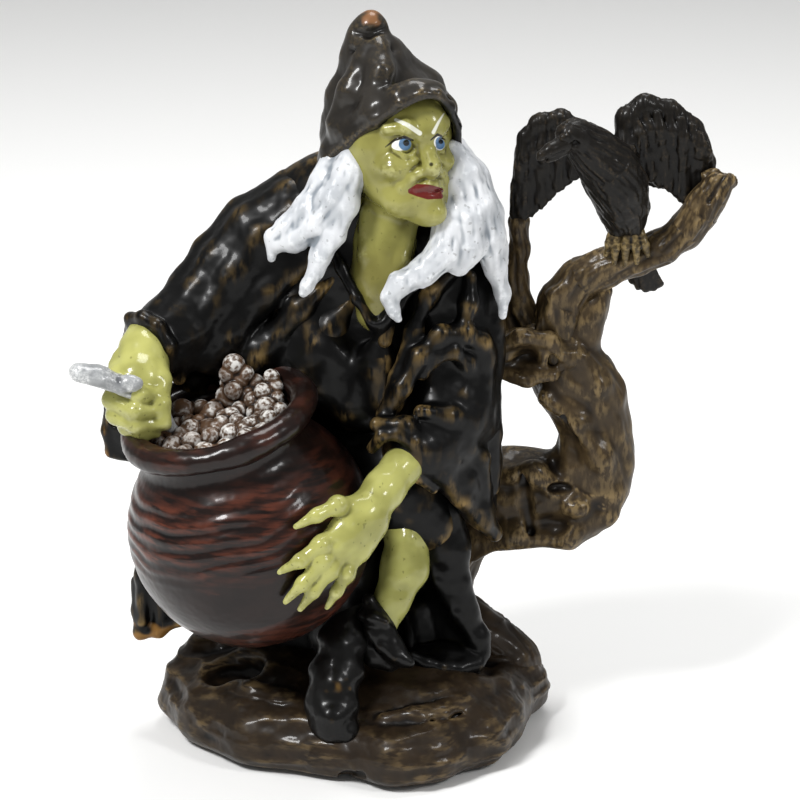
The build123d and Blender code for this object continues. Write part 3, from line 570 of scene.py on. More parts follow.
cast("raven_right_feathers", near, ["raven_right_wing"], [raven_paint],
     lambda p: 0.16 * grain(p, (0.5, 0.8, 2.6), 33), rounds=6)

far = Clay((38, -1, 103), (68, 16, 137), 0.26)
far.tube([(43.4, 5.0, 119.4, 2.4), (44.8, 6.6, 123.6, 2.2), (45.2, 7.6, 128.2, 2.3), (48.6, 8.3, 130.8, 2.1),
          (53.6, 8.7, 129.6, 2.0), (58.0, 9, 126, 1.9), (60.0, 9, 122.4, 1.7)], soft=1.4, flat=((0, 1, 0), 1.2))
far_tips = [(62.0, 9.2, 115.4), (60.6, 9.1, 112.9), (59.2, 9, 110.9), (57.2, 8.8, 110.3), (55.6, 8.6, 112.0),
            (53.8, 8.4, 113.6), (52.0, 8.0, 114.4), (50.2, 7.6, 115.8), (48.2, 7.2, 117.0), (46.6, 6.6, 118.4)]
far_roots = [(60.6, 9, 123), (59.6, 9, 125), (58, 9, 126.6), (55.8, 8.8, 128), (53.4, 8.6, 128.8), (51, 8.4, 129.2),
             (48.8, 8.2, 128.8), (47, 7.8, 127.4), (46, 7.4, 125.4), (45.2, 6.8, 123.4)]
far.ball((53.4, 9.6, 121.6), (8.4, 1.3, 8.2), soft=1.0)
far.ball((47.6, 8.4, 122), (4.6, 1.5, 7.6), soft=1.0)
fan(far, far_roots, far_tips, 1.7, 0.3)
for reach, rise in ((0.6, 0.9), (0.36, 1.7)):
    short = [tuple(a + reach * (b - a) for a, b in zip(r, t)) for r, t in zip(far_roots, far_tips)]
    fan(far, [(x, y - rise, z) for x, y, z in far_roots], [(x, y - rise - 0.1, z) for x, y, z in short], 1.3, 0.35)
cast("raven_left_feathers", far, ["raven_left_wing"], [raven_paint],
     lambda p: 0.16 * grain(p, (0.5, 0.8, 2.6), 34), rounds=6)

tail = Clay((40, 2, 86), (58, 20, 108), 0.28)
for k, (x, z) in enumerate(((47.4, 93.6), (48.8, 92.3), (50.2, 91.8), (51.6, 92.0), (52.8, 92.8))):
    tail.tube([(44.8 + 0.4 * k, 7.0, 105.0, 1.6), (46 + 0.8 * k, 11.0, 98.6, 1.5),
               (x, 13.2 + 0.2 * (k % 2), z, 1.0)],
              soft=0.3, flat=((-0.2, 0.9, 0.4), 1.7))
cast("raven_tail_feathers", tail, ["raven_tail"], [raven_paint],
     lambda p: 0.12 * grain(p, (0.6, 0.8, 2.4), 35), rounds=6)

feet = {
    "raven_right_foot": [[(42.9, 3.8, 107.6, 1.1), (41.8, 3.3, 103.8, 0.95), (41.2, 4.4, 101.2, 0.5)],
                         [(43.4, 3.6, 107.8, 1.1), (43.0, 2.8, 103.2, 1.0), (42.9, 3.6, 99.6, 0.5)]],
    "raven_left_foot": [[(45.4, 3.6, 107.8, 1.1), (45.0, 2.6, 103.4, 1.0), (45.0, 3.4, 99.4, 0.5)],
                        [(46.3, 3.6, 107.8, 1.1), (47.0, 2.6, 103.4, 1.0), (47.4, 3.4, 99.8, 0.5)],
                        [(47.2, 3.8, 107.4, 1.1), (48.8, 3.0, 103.6, 0.95), (49.6, 3.6, 101.2, 0.5)]],
}
for foot_node, toes in feet.items():
    foot_clay = Clay((38, -1, 96), (53, 9, 109), 0.2)
    for toe in toes:
        foot_clay.tube(toe, soft=0.4)
    for toe in toes:
        foot_clay.tube([(toe[0][0], toe[0][1] + 1.2, toe[0][2] + 0.6, 1.2), (toe[0][0], toe[0][1], toe[0][2], 0.9)],
                       soft=0.6)
    cast(foot_node + "_claws", foot_clay, [foot_node], [claw_paint],
         lambda p: 0.07 * grain(p, (0.8, 0.8, 0.4), 36), rounds=4)

# ---------------------------------------------------------------- cauldron
# A round-bellied pot with a short neck and a thick rolled lip, leaning to the left and forward. It is cast resin on
# a dowel, finger-ringed on the shoulder, painted black-brown and rubbed with rust red, and it is glossy.

# black-brown gloss paint, rubbed rust red round the shoulder and the underside
pot_paint = brushed_paint("cauldron_rust_gloss_paint", "1c110e", "080505", "6a3828", hollow=(-0.02, -0.12),
                          ridge=(-0.16, 0.16), patch=(0.36, 0.8), rub=0.42, rough=0.32, varnish=0.3,
                          streak=(0.16, 0.16, 0.9), patch_mm=11.0, bristle_mm=1.0)
pot_centre = np.array([-30.0, -10.0, 49.0])
pot_up = np.array([-math.sin(math.radians(14)), -math.sin(math.radians(10)), 1.0])
pot_up /= np.linalg.norm(pot_up)
pot_across = np.array([1.0, 0, 0]) - pot_up * pot_up[0]
pot_across /= np.linalg.norm(pot_across)
pot_away = np.cross(pot_up, pot_across)


def in_pot(across, away, rise, *size):
    """A point across the mouth, away from the viewer and above the centre of the belly, along its leaning axis."""
    return (*(pot_centre + across * pot_across + away * pot_away + rise * pot_up), *size)


def round_the_pot(clay):
    """All of a block, with the height along the pot's axis, the distance from it and the angle round it."""
    cells, (x, y, z) = clay.whole()
    px, py, pz = x - pot_centre[0], y - pot_centre[1], z - pot_centre[2]
    rise = px * pot_up[0] + py * pot_up[1] + pz * pot_up[2]
    turn = np.arctan2(px * pot_away[0] + py * pot_away[1] + pz * pot_away[2],
                      px * pot_across[0] + py * pot_across[1] + pz * pot_across[2])
    return cells, rise, np.sqrt(np.maximum(px * px + py * py + pz * pz - rise * rise, 0)), turn


belly_radius, neck_radius, mouth_radius, lip_radius, lip_height, pot_floor = 24.5, 16.2, 14.5, 17.3, 24.75, 19.0
pot = Clay((-60, -43, 21), (0, 22, 83), 0.4)
cells, rise, reach, turn = round_the_pot(pot)
pot.set(cells, np.sqrt(reach * reach + rise * rise) - belly_radius, 0.5, False)
pot.set(cells, np.maximum(reach - neck_radius, np.abs(rise - 19.4) - 4.0), 1.6, False)
lip = 2.75 + 0.12 * np.sin(5 * turn + 0.6) + 0.08 * np.sin(9 * turn)
pot.set(cells, np.sqrt((reach - lip_radius) ** 2 + (rise - lip_height) ** 2) - lip, 0.7, False)
pot.set(cells, np.maximum(reach - mouth_radius, pot_floor - rise), 0.8, True)


def pot_places(p):
    """The height along the pot's axis, the distance from it and the angle round it, at points."""
    q = p - pot_centre
    up = q @ pot_up
    return up, np.sqrt(np.maximum((q * q).sum(axis=1) - up * up, 0)), np.arctan2(q @ pot_away, q @ pot_across)


def finger_rings(p):
    """Shallow uneven rings left on the shoulder, strongest at the front left, over a faintly dented belly."""
    up, out, round_it = pot_places(p)
    side = np.clip(0.45 - 0.75 * np.cos(round_it - 0.9), 0, 1)
    band = np.clip((up + 1) / 4, 0, 1) * np.clip((17 - up) / 3, 0, 1) * (out > 15)
    wave = np.sin(up * 2.1 + 0.9 * np.sin(round_it * 2.0) + 3.0 * grain(p, 8.0, 41)) * (1 + 0.6 * grain(p, 6.0, 47))
    rim = (up > 21.5) * 0.09 * grain(p, 1.6, 43)
    return 0.15 * band * side * wave + 0.16 * grain(p, 7.0, 42) + rim + 0.03 * grain(p, 0.9, 44)


def pot_marks(p):
    """Where the rust is rubbed harder, and the silver smear on the left end of the lip."""
    up, out, round_it = pot_places(p)
    side = np.clip(0.55 - 0.6 * np.cos(round_it - 0.9), 0, 1)
    shoulder = np.clip((up - 1) / 5, 0, 1) * np.clip((19 - up) / 4, 0, 1) * side
    under = np.clip((-9 - up) / 7, 0, 1)
    smear = 1.7 - np.linalg.norm((p - np.array(in_pot(-17.6, -5.5, 23.0))) / (1.0, 1.0, 2.2), axis=1)
    return {"press": 0.36 * shoulder + 0.42 * under - 0.05 * (up > 20) - 0.4 * (up < -1) * (up > -11),
            "smear": smear + 0.7 * grain(p, 0.8, 45)}


overpaint(pot_paint, "smear", "b9b9b4", soft=0.4, cover=0.85)
cast("cauldron_belly", pot, ["cauldron_pot"], [pot_paint], finger_rings, rounds=10,
     marks=pot_marks)

# ---------------------------------------------------------------- brew
# The brew is one casting set in the mouth: a level surface crowded with round bubbles that pile up at the back. It
# is painted brown and dry-brushed with silver white on the tops.

# brown paint in the hollows between the bubbles, with silver-white tops
brew_paint = brushed_paint("brew_silver_brushed_paint", "5a4331", "1a110b", "cfcdc9", hollow=(0.02, -0.14),
                           ridge=(-0.01, 0.09), patch=(0.36, 0.56), rub=0.9, rough=0.4, varnish=0.2, patch_mm=5.0,
                           bristle_mm=0.9)
brew = Clay((-56, -32, 58), (-14, 8, 88), 0.26)
cells, rise, reach, turn = round_the_pot(brew)
brew_radius, brew_level, brew_floor = 14.3, 22.2, 19.2
brew.set(cells, np.maximum(np.maximum(reach - brew_radius, rise - brew_level), brew_floor - rise), 0.3, False)
# each bubble's place across the mouth, away from the viewer and above the level, and its radius
pile = [
    (9.2, 2.1, 1.4, 2.1), (3.7, 4.8, 1.0, 1.6), (-1.7, 5.3, 1.4, 2.0), (-6.0, 0.2, 1.2, 1.9), (-3.0, 0.9, 0.8, 1.4),
    (0.1, 0.2, 1.0, 1.6), (3.4, -0.2, 1.0, 1.5), (-6.8, 4.2, 1.0, 1.5), (6.5, 2.7, 0.8, 1.3), (-9.2, 4.7, 0.8, 1.3),
    (-8.2, 8.2, 1.8, 2.2), (-4.4, 8.6, 1.2, 1.7), (-1.7, 9.4, 0.9, 1.2), (1.4, 8.4, 2.6, 2.2), (5.4, 7.6, 2.2, 1.9),
    (4.4, 9.4, 5.2, 2.2), (1.8, 10.0, 4.9, 1.3), (4.2, 9.8, 8.6, 2.0), (11.4, 4.4, 2.0, 1.5), (11.4, 6.2, 3.6, 1.6),
    (11.2, 7.2, 5.4, 1.5), (-9.5, -4.5, 1.0, 1.7), (-5.5, -4.8, 1.0, 1.8), (-1.8, -4.2, 1.0, 1.6),
    (2.2, -4.8, 1.0, 1.8),
    (6.2, -3.4, 1.1, 1.7), (10.0, -2.6, 1.4, 1.6), (-7.0, -9.0, 0.8, 1.6), (-3.0, -9.6, 0.8, 1.7),
    (1.5, -9.8, 0.8, 1.6),
    (5.6, -8.2, 1.0, 1.7), (9.0, -6.4, 1.0, 1.4), (-11.4, 0.6, 1.0, 1.6), (12.2, 0.8, 1.2, 1.3),
    (-12.0, -2.8, 0.9, 1.3),
    (6.8, 5.2, 2.0, 1.8), (8.8, 7.4, 2.6, 1.7), (2.2, 2.6, 1.4, 1.5), (7.4, 9.4, 4.0, 1.6), (9.2, 5.0, 3.6, 1.7),
    (-4.6, 3.0, 1.0, 1.5), (0.6, 2.8, 1.2, 1.4), (3.2, 7.0, 4.4, 1.7), (6.0, 9.2, 6.4, 1.6), (2.6, 9.0, 7.2, 1.6),
]
scatter = np.random.default_rng(7)
for _ in range(46):
    away, about = 13.0 * math.sqrt(scatter.uniform(0, 1)), scatter.uniform(0, 2 * math.pi)
    pile.append((away * math.cos(about), away * math.sin(about), scatter.uniform(0.2, 1.0),
                 scatter.uniform(1.1, 1.8)))
for across, away, up, size in pile:
    brew.ball(in_pot(across, away, brew_level + up), 1.14 * size, soft=0.3)
cast("brew_bubbles", brew, ["brew"], [brew_paint], rounds=8,
     marks=lambda p: {"press": np.clip((p[:, 0] + 38) / 16, -0.5, 0.8)})

# ---------------------------------------------------------------- ladle
# The stirring ladle is cast with a broad flat handle end that sticks out past the fist and a shaft that runs down
# into the brew. It is painted bright silver, with grey in the dents.

# bright silver paint, worn grey in the dents
silver_paint = brushed_paint("ladle_silver_metallic_paint", "a1a3a4", "55575a", "d9dad9", hollow=(0.03, -0.05),
                             ridge=(-0.02, 0.05), patch=(0.3, 0.6), rub=0.7, rough=0.3, varnish=0.5, metal=0.2,
                             patch_mm=4.0, bristle_mm=0.4)
ladle = Clay((-68, -31, 62), (-36, -4, 92), 0.24)
ladle.tube([(-61.8, -22, 84.3, 2.3), (-58.2, -21.4, 83.5, 2.5), (-54.6, -20.6, 81.6, 2.2),
            (-51.6, -19.6, 79.4, 1.5)], soft=0.5,
           flat=((0.35, -0.4, 0.85), 1.35))
ladle.tube([(-53, -19.6, 80.4, 1.5), (-48, -16.4, 77, 1.4), in_pot(-9.5, 1.6, 21.4, 1.3)], soft=0.8)
ladle.ball((-52.4, -21.4, 82.0), (2.6, 1.5, 1.8), soft=0.6)
cast("ladle_handle", ladle, ["ladle"], [silver_paint], lambda p: 0.12 * grain(p, 1.1, 46), rounds=6)

# ---------------------------------------------------------------- robe
# The robe is several castings: the body, two sleeves, a loose cuff, a knee flap and the skirt. All are sculpted
# folds, painted gloss black, with antique gold brushed along the ridges of the folds.

# gloss black paint with antique gold on the ridges
robe_paint = brushed_paint("robe_black_gold_gloss_paint", "060606", "020202", "8d7448", hollow=(0.0, -0.2),
                           ridge=(0.08, 0.7), patch=(0.46, 0.66), rub=0.85, rough=0.38, varnish=0.1, metal=0.5,
                           streak=(1.0, 0.7, 0.3), patch_mm=8.0, bristle_mm=1.3)
# the same black with gold worn to orange at the ends of the cloth
overpaint(robe_paint, "tip", "86602f", soft=1.4, cover=0.75)


def beside(run, start, end, lift, size):
    """A run on the skin of a limb that turns from one angle to another; 0 faces the viewer and 90 is to the limb's
    left, looking along it. It sinks in at both ends."""
    run = np.array(run, float)
    made = []
    for k, (x, y, z, r) in enumerate(run):
        way = run[min(k + 1, len(run) - 1), :3] - run[max(k - 1, 0), :3]
        way /= np.linalg.norm(way)
        front = np.array([0, -1, 0]) + way * way[1]
        front /= np.linalg.norm(front)
        t = k / (len(run) - 1)
        angle = math.radians(start + t * (end - start))
        side = front * math.cos(angle) + np.cross(way, front) * math.sin(angle)
        swell = 0.35 + 0.65 * math.sin(math.pi * (0.08 + 0.84 * t))
        made.append((*(np.array([x, y, z]) + side * (r + lift - 0.8 * size * (1 - swell))), size * swell))
    return made


def cloth_texture(p):
    """Slight unevenness left by the modelling tool."""
    return 0.14 * grain(p, 3.2, 51) + 0.05 * grain(p, 1.1, 52)


robe_run = [(-13, 15, 12, 22), (-12.5, 15, 26, 21.5), (-10, 15, 40, 21), (-8.3, 13.5, 62, 21.4), (-9, 11, 86, 21),
            (-11, 9, 101, 17), (-13, 9, 110, 10.5)]
robe = Clay((-42, -18, 8), (24, 38, 124), 0.48)
robe.tube(robe_run, soft=5.0, flat=((0, 1, 0), 1.6))
robe.ball((-14, 12, 109), (12, 10, 9), soft=5.0)
robe.tube([(-20, 9, 108, 8), (-12, 8, 112, 8), (-2, 6, 108, 7.5), (5, 6, 103, 7)], soft=4.0)
for k in range(17):
    # long folds fall from the shoulders to the hem round the back and the sides
    u = -1.05 + 2.1 * k / 16 + 0.03 * math.sin(7.0 * k)
    fold = []
    for x, y, z, r in robe_run[:6]:
        swing = u * 1.75 + 0.07 * math.sin(0.09 * z + 2.1 * k)
        out = (r - 0.6) / (1.0 if k % 2 else 1.03)
        fold.append((x + out * math.sin(swing), y + out / 1.6 * math.cos(swing), z,
                     2.0 - 0.9 * (z > 95) + 0.5 * (z < 30)))
    robe.tube(fold, soft=2.0)
for lapel, soft in [
    # the edges of the neck opening, and soft folds that run from the shoulders into the lap
    ([(-16.5, 0, 110, 1.2), (-11.6, -5.6, 101, 1.1), (-8.4, -8.4, 95.4, 1.0), (-5.6, -9.2, 91.6, 0.9)], 1.6),
    ([(6.5, -3, 106, 1.2), (3.6, -7, 99, 1.1), (-0.4, -8.6, 94, 1.0), (-4.0, -9.4, 91.4, 0.9)], 1.6),
    ([(-22, 0, 92, 2.6), (-15, -2.4, 83, 2.8), (-7, -4, 77, 2.6), (1, -5.4, 75, 1.8)], 6.0),
    ([(-25, 0, 84, 2.6), (-17, -1.6, 76, 2.8), (-9, -3, 71, 2.4), (-1, -5, 69, 1.6)], 6.0),
    ([(-3.6, -7.6, 90, 1.6), (-4, -6.6, 82, 2.0), (-2, -6, 75, 2.0), (2, -7, 70, 1.4)], 5.0),
]:
    robe.tube(lapel, soft=soft)
# the lap and knees swell forward over the boots, and the neck opening is sunk to a point on the chest
robe.tube([(-2, 4, 58, 9), (2, -1, 52, 8.5), (6, -3, 47, 6)], soft=4.0)
robe.tube([(-14, 4, 50, 10), (-14, -4, 36, 9), (-13, -7, 25, 6)], soft=5.0)
robe.tube([(-4.2, -7, 108, 4.6), (-4.4, -8.5, 100, 3.2), (-4.6, -10.2, 93, 1.4)], soft=1.2, cut=True)
robe.below(13.0)
cast("robe_folds", robe, ["robe_body"], [robe_paint], cloth_texture, rounds=45,
     marks=lambda p: {"press": 0.08 * (p[:, 2] > 88) - 0.15 * (p[:, 1] < 0) * (p[:, 2] < 60)
                      - 0.8 * (p[:, 1] < 0) * (np.hypot(p[:, 0] + 4.6, p[:, 2] - 97) < 13)})

arm_run = [(-14, 8.5, 106.5, 9.6), (-20, 9, 106.5, 9.6), (-27, 8, 102.5, 9.2), (-33, 6, 96, 8.8),
           (-39, 3.4, 90, 8.0),
           (-45, -1.5, 86.6, 6.6), (-49.2, -5.6, 86.2, 5.2)]
arm = Clay((-64, -16, 66), (-2, 22, 122), 0.36)
arm.tube(arm_run, soft=4.0)
arm.tube([(-41, 2, 83, 5.5), (-34, 3.6, 81, 6.6), (-25, 4.6, 82, 7.4), (-14, 5, 86, 8.4)], soft=3.5)
arm.tube([(-46, -2, 82.6, 2.6), (-42, 0.6, 76.4, 2.4), (-39, 2.6, 72.6, 1.6)], soft=2.0)
for start, end, lift, size in ((-10, -60, -0.7, 2.0), (40, -10, -0.7, 2.0), (66, 40, -0.7, 2.0),
                               (92, 84, -0.6, 1.9),
                               (124, 132, -0.6, 1.9), (160, 170, -0.6, 1.8), (-80, -100, -0.6, 1.8)):
    arm.tube(beside(arm_run, start, end, lift, size), soft=3.0)
for fold in [
    # folds that hang from the forearm and gather in the elbow
    [(-18, -0.5, 101, 1.2), (-26, -1.6, 95, 1.6), (-33, -3.2, 87.4, 1.6), (-39, -4, 80.4, 1.1)],
    [(-12, -1, 99, 1.2), (-20, -2.2, 91.6, 1.7), (-28, -3.2, 83, 1.6), (-34, -3.4, 76.6, 1.1)],
    [(-42, -4.6, 88, 1.1), (-44.4, -6.2, 83.2, 1.3), (-44, -5.6, 78, 1.0)],
    [(-8, -1, 95, 1.3), (-14, -2.4, 87.4, 1.6), (-22, -3, 78.4, 1.4)],
]:
    arm.tube(fold, soft=3.4)
# the cuff turns back in a thick ring round the wrist and is open inside
arm.tube([(-47.6, -10, 90.4, 1.3), (-50.8, -7.6, 91.6, 1.3), (-53.4, -4, 90.2, 1.3), (-53.6, -1.4, 86.6, 1.3),
          (-51.4, -1.6, 82.2, 1.3),
          (-48, -4.4, 80.2, 1.2), (-45.8, -8.6, 81.6, 1.2), (-45.4, -10.6, 86.6, 1.3),
          (-47.6, -10, 90.4, 1.3)], soft=1.0)
cast("right_sleeve_folds", arm, ["right_sleeve"], [robe_paint], cloth_texture, rounds=45,
     marks=lambda p: {"press": 0.35 * (p[:, 2] > 96) + 0.1})

drape = Clay((-66, -12, 52), (-38, 20, 96), 0.34)
drape.tube([(-57, 4.4, 74, 3.0), (-51, 6, 83, 4.4), (-44, 7, 89, 4.6)], soft=3.0)
drape.tube([(-51, 3, 78, 3.4), (-54, 2.4, 73, 3.4), (-56, 2.4, 67, 3.6), (-56.6, 2.8, 61.6, 3.0)], soft=2.0)
drape.tube([(-53, 0.4, 76, 1.2), (-58.4, 0.6, 71, 1.2), (-59.2, 0.8, 65.4, 1.3), (-58.6, 1.4, 60.8, 1.2),
            (-54.2, 1.6, 59.4, 1.2)], soft=0.9)
drape.tube([(-52, -0.2, 72, 1.0), (-55.4, -0.6, 67, 1.1), (-55.2, 0, 61.6, 0.9)], soft=0.8)
drape.ball((-57.4, -0.6, 68.4), (1.1, 2.0, 1.7), soft=0.7, cut=True)
cast("right_cuff_folds", drape, ["right_cuff_drape"], [robe_paint], cloth_texture, rounds=26,
     marks=lambda p: {"press": np.full(len(p), 0.45), "tip": 0.7 - np.abs(p[:, 0] + 59.8) + 1.3 * grain(p, 1.6, 53)
                      - 0.2 * (p[:, 2] - 62)})

knee = Clay((-64, -6, 8), (-24, 28, 76), 0.38)
# the flap hangs from a sheet that runs back behind the cauldron into the robe
for sheet in [
    [(-48, 10, 52, 5.0), (-40, 15.5, 60, 5.2), (-31, 18, 66, 5.0)],
    [(-49, 9.5, 42, 4.6), (-41, 15.5, 48, 5.4), (-31, 18, 54, 6.0)],
]:
    knee.tube(sheet, soft=4.0, flat=((0, 1, 0), 1.2))
knee.tube([(-44, 9, 58, 5.4), (-49, 8.6, 48, 5.4), (-50.4, 8, 38, 4.6), (-49.6, 7.2, 29, 5.0),
           (-49.2, 6.4, 24.6, 4.4)], soft=2.5, flat=((0, 1, 0), 1.2))
for shift in (-3.4, 0.2, 3.6):
    knee.tube([(-47 + shift, 5, 55, 1.2), (-50.4 + 0.9 * shift, 3.6, 44, 1.4), (-50.2 + 0.9 * shift, 3.2, 33, 1.3),
               (-49.6 + 1.1 * shift, 2.6, 23.4, 1.2)], soft=1.8)
knee.tube([(-54.0, 3.8, 20.4, 1.4), (-50, 2.8, 21.2, 1.3), (-45.4, 3.4, 24.4, 1.3)], soft=1.4)
knee.tube([(-54.6, 5.6, 31, 1.2), (-54.4, 4.4, 25, 1.2), (-53.8, 3.8, 20.4, 1.2)], soft=1.4)
cast("knee_folds", knee, ["knee_drape"], [robe_paint], cloth_texture, rounds=26,
     marks=lambda p: {"press": 0.2 + 0.5 * (p[:, 2] < 30), "tip": 22.4 - p[:, 2] + 2.2 * grain(p, 1.8, 54)})

sleeve_run = [(6, 5.5, 103, 8.4), (9.2, 4.2, 94, 9.8), (10.2, 1.6, 82, 9.8), (9, -3.4, 71, 9.2), (5.4, -9, 66, 7.2),
              (2.0, -12.6, 65, 5.4)]
sleeve = Clay((-12, -24, 40), (27, 20, 116), 0.34)
sleeve.tube(sleeve_run, soft=4.0)
sleeve.tube([(12, 0.5, 72, 8.2), (14.2, 1, 60, 6), (16.4, 2.2, 49, 3.6)], soft=3.0)
sleeve.tube([(7.4, -9, 66, 4.6), (11.6, -7.4, 58, 4.0), (15.6, -4.6, 50.6, 3.0), (18.8, -2.4, 45.2, 1.6)], soft=2.0)
sleeve.ball((9.5, -12.5, 82.4), (4.6, 3.4, 5.4), soft=1.4, cut=True)
for fold in [
    # the arch of cloth over the crook of the elbow and the hem of the cuff
    [(-2.4, -13, 73.5, 1.3), (0.5, -13.4, 78.8, 1.6), (3.8, -12, 84.6, 1.7), (8, -10.4, 88.7, 1.7),
     (12.8, -8.6, 88.2, 1.7),
     (16.0, -6.6, 86, 1.6), (17.0, -5.4, 82.6, 1.5), (16.6, -5.6, 78, 1.3), (15.2, -7, 73.4, 1.2)],
    [(4.6, -11.4, 80.6, 0.9), (7.3, -11, 84.4, 1.0), (10.4, -10.6, 85.2, 1.0), (13.2, -8.8, 82.6, 0.9),
     (13.8, -8, 78.6, 0.8)],
    [(-4.6, -16, 72, 1.5), (0.9, -16, 71.6, 1.7), (3.9, -15.6, 67, 1.7), (8.1, -13, 61, 1.6),
     (12.4, -10, 54.4, 1.5),
     (16.8, -6, 48.4, 1.4), (19.4, -3, 44.4, 1.3)],
    [(14.1, -5.6, 99.4, 1.1), (13.7, -7.2, 94.2, 1.4), (12.8, -8.4, 89.6, 1.2)],
    [(10.2, -6, 100.4, 1.1), (5.6, -7.6, 96, 1.4), (2.6, -9, 88.9, 1.5), (-0.6, -10.6, 80, 1.4),
     (-3.4, -12.6, 72.8, 1.2)],
    [(18.2, -2.4, 78, 1.2), (18.6, -2.4, 66, 1.5), (18.8, -2, 54, 1.3)],
    [(8.1, -12.6, 69, 1.3), (12.3, -10.6, 66.2, 1.5), (16.4, -7.6, 62.4, 1.4), (17.2, -5.2, 54.8, 1.2)],
    [(4, -14.6, 74.4, 1.2), (9.6, -13, 73, 1.4), (14.4, -9.4, 70.6, 1.3), (17.6, -5, 68, 1.1)],
    [(1.2, -3.4, 103.4, 1.4), (-1.4, -6.6, 96, 1.5), (-3.0, -9, 87, 1.4)],
    [(17.4, 1, 98, 1.6), (19.0, 0, 88, 1.7), (19.0, -0.6, 78, 1.4)],
    [(14.6, 9, 100, 1.6), (17.4, 9, 88, 1.9), (18.2, 8, 74, 1.9), (18.6, 6.6, 60, 1.5)],
    [(8.6, 13.4, 98, 1.6), (11.6, 12.4, 86, 1.9), (13.2, 10, 74, 1.8), (15.6, 8, 62, 1.4)],
    [(4, 13, 92, 1.4), (5.6, 12, 80, 1.7), (7.6, 9, 70, 1.5)],
]:
    sleeve.tube(fold, soft=2.0)
# the mouth of the cuff is open round the wrist and dark inside
sleeve.tube([(2.6, -12.6, 64, 3.9), (-2.4, -18, 61, 4.3), (-6, -22, 59, 4.8)], soft=0.9, cut=True)
sleeve.tube([(-5.4, -15.6, 67, 1.2), (-3.6, -17, 69.9, 1.3), (-0.4, -17.4, 70.3, 1.3), (2.6, -17, 68.6, 1.3),
             (3.8, -16.4, 65, 1.2),
             (3.0, -15.6, 61.4, 1.2), (6.6, -12.8, 57.6, 1.1)], soft=0.8)
cast("left_sleeve_folds", sleeve, ["left_sleeve"], [robe_paint], cloth_texture, rounds=45,
     marks=lambda p: {"press": 0.3 * (p[:, 2] < 90)})

skirt = Clay((-4, -20, 11), (25, 12, 60), 0.3)
# the sheet of cloth that falls from the lap, and the wall of the bell behind its hollow
skirt.tube([(7.4, 0, 56, 4.4), (8.2, -2, 50, 4.5), (9.2, -2.6, 42, 4.7), (10.6, -3, 34, 3.4), (13.2, -3, 27.4, 2.6),
            (16.0, -3.2, 22, 2.1),
            (16.8, -4.4, 19, 1.6)], soft=2.5)
skirt.tube([(9, 4, 50, 4.0), (9.2, 4, 40, 4.2), (10, 3.4, 30, 4.4), (11.6, 2.4, 21, 5.0)], soft=3.0)
skirt.tube([(3.5, 3, 26, 3.2), (4.5, 1.6, 19, 3.4)], soft=3.0)
skirt.tube([(16.9, -4, 19.6, 1.3), (15.9, -5.8, 17.4, 1.3), (12.1, -7.6, 17, 1.3), (8.6, -8.8, 17.8, 1.3),
            (5.4, -9.4, 19.0, 1.3), (2.4, -9.6, 20.6, 1.1)], soft=1.2)
skirt.tube([(12.4, -3.4, 16, 4.6), (8, -4.4, 16, 4.8), (4.4, -4.6, 17.4, 3.4)], soft=1.5)
skirt.tube([(4.9, -4.6, 50, 0.8), (5.1, -5.4, 43, 0.9), (7.6, -5.4, 35.4, 0.9), (11.2, -5.2, 28.4, 0.8),
            (15.2, -4.8, 22.6, 0.8)], soft=1.2)
skirt.tube([(11.4, -5.2, 50, 0.9), (12.4, -5.4, 42, 1.0), (12.8, -5, 35, 0.9), (15.0, -4.4, 28, 0.8)], soft=2.0)
cast("skirt_folds", skirt, ["skirt_panel"], [robe_paint], cloth_texture, rounds=26,
     marks=lambda p: {"press": np.full(len(p), -0.25)})

# ---------------------------------------------------------------- legs and boots
# The bare left shin reaches down into a pointed boot, and the right boot stands in front under the cauldron. They
# are cast resin; the skin is painted olive green and the boots gloss black with gold on the bend.

# olive-green skin paint, glossy, with brown-green wash in the creases and light highlights
skin_paint = brushed_paint("skin_olive_gloss_paint", "a9a861", "67662c", "c6c487", hollow=(-0.02, -0.22),
                           ridge=(0.03, 0.22), patch=(0.3, 0.6), rub=0.6, rough=0.27, varnish=0.5, patch_mm=6.0,
                           bristle_mm=1.4, wear="3c3a14", worn=0.4)
# gloss black boot paint, with gold brushed on the bend
boot_paint = brushed_paint("boot_black_gloss_paint", "0d0c0b", "050505", "8a6a32", hollow=(0.0, -0.15),
                           ridge=(0.06, 0.3), patch=(0.45, 0.65), rub=0.5, rough=0.36, varnish=0.18, metal=0.4,
                           patch_mm=5.0, bristle_mm=0.5)
leg = Clay((-12, -24, 18), (14, 10, 60), 0.3)
leg.tube([(3.2, -1, 53, 4.6), (1.6, -4.6, 46, 4.5), (0.9, -8.0, 39, 4.6), (-1.6, -11, 33.2, 3.5),
          (-3.4, -13, 28, 2.6)], soft=2.0)
leg.tube([(1.6, -9.2, 45.5, 1.4), (-0.8, -12.2, 38.5, 1.2), (-3.2, -14, 32.6, 0.9)], soft=2.0)
cast("left_shin", leg, ["left_leg"], [skin_paint], lambda p: 0.1 * grain(p, 2.2, 61), rounds=12)

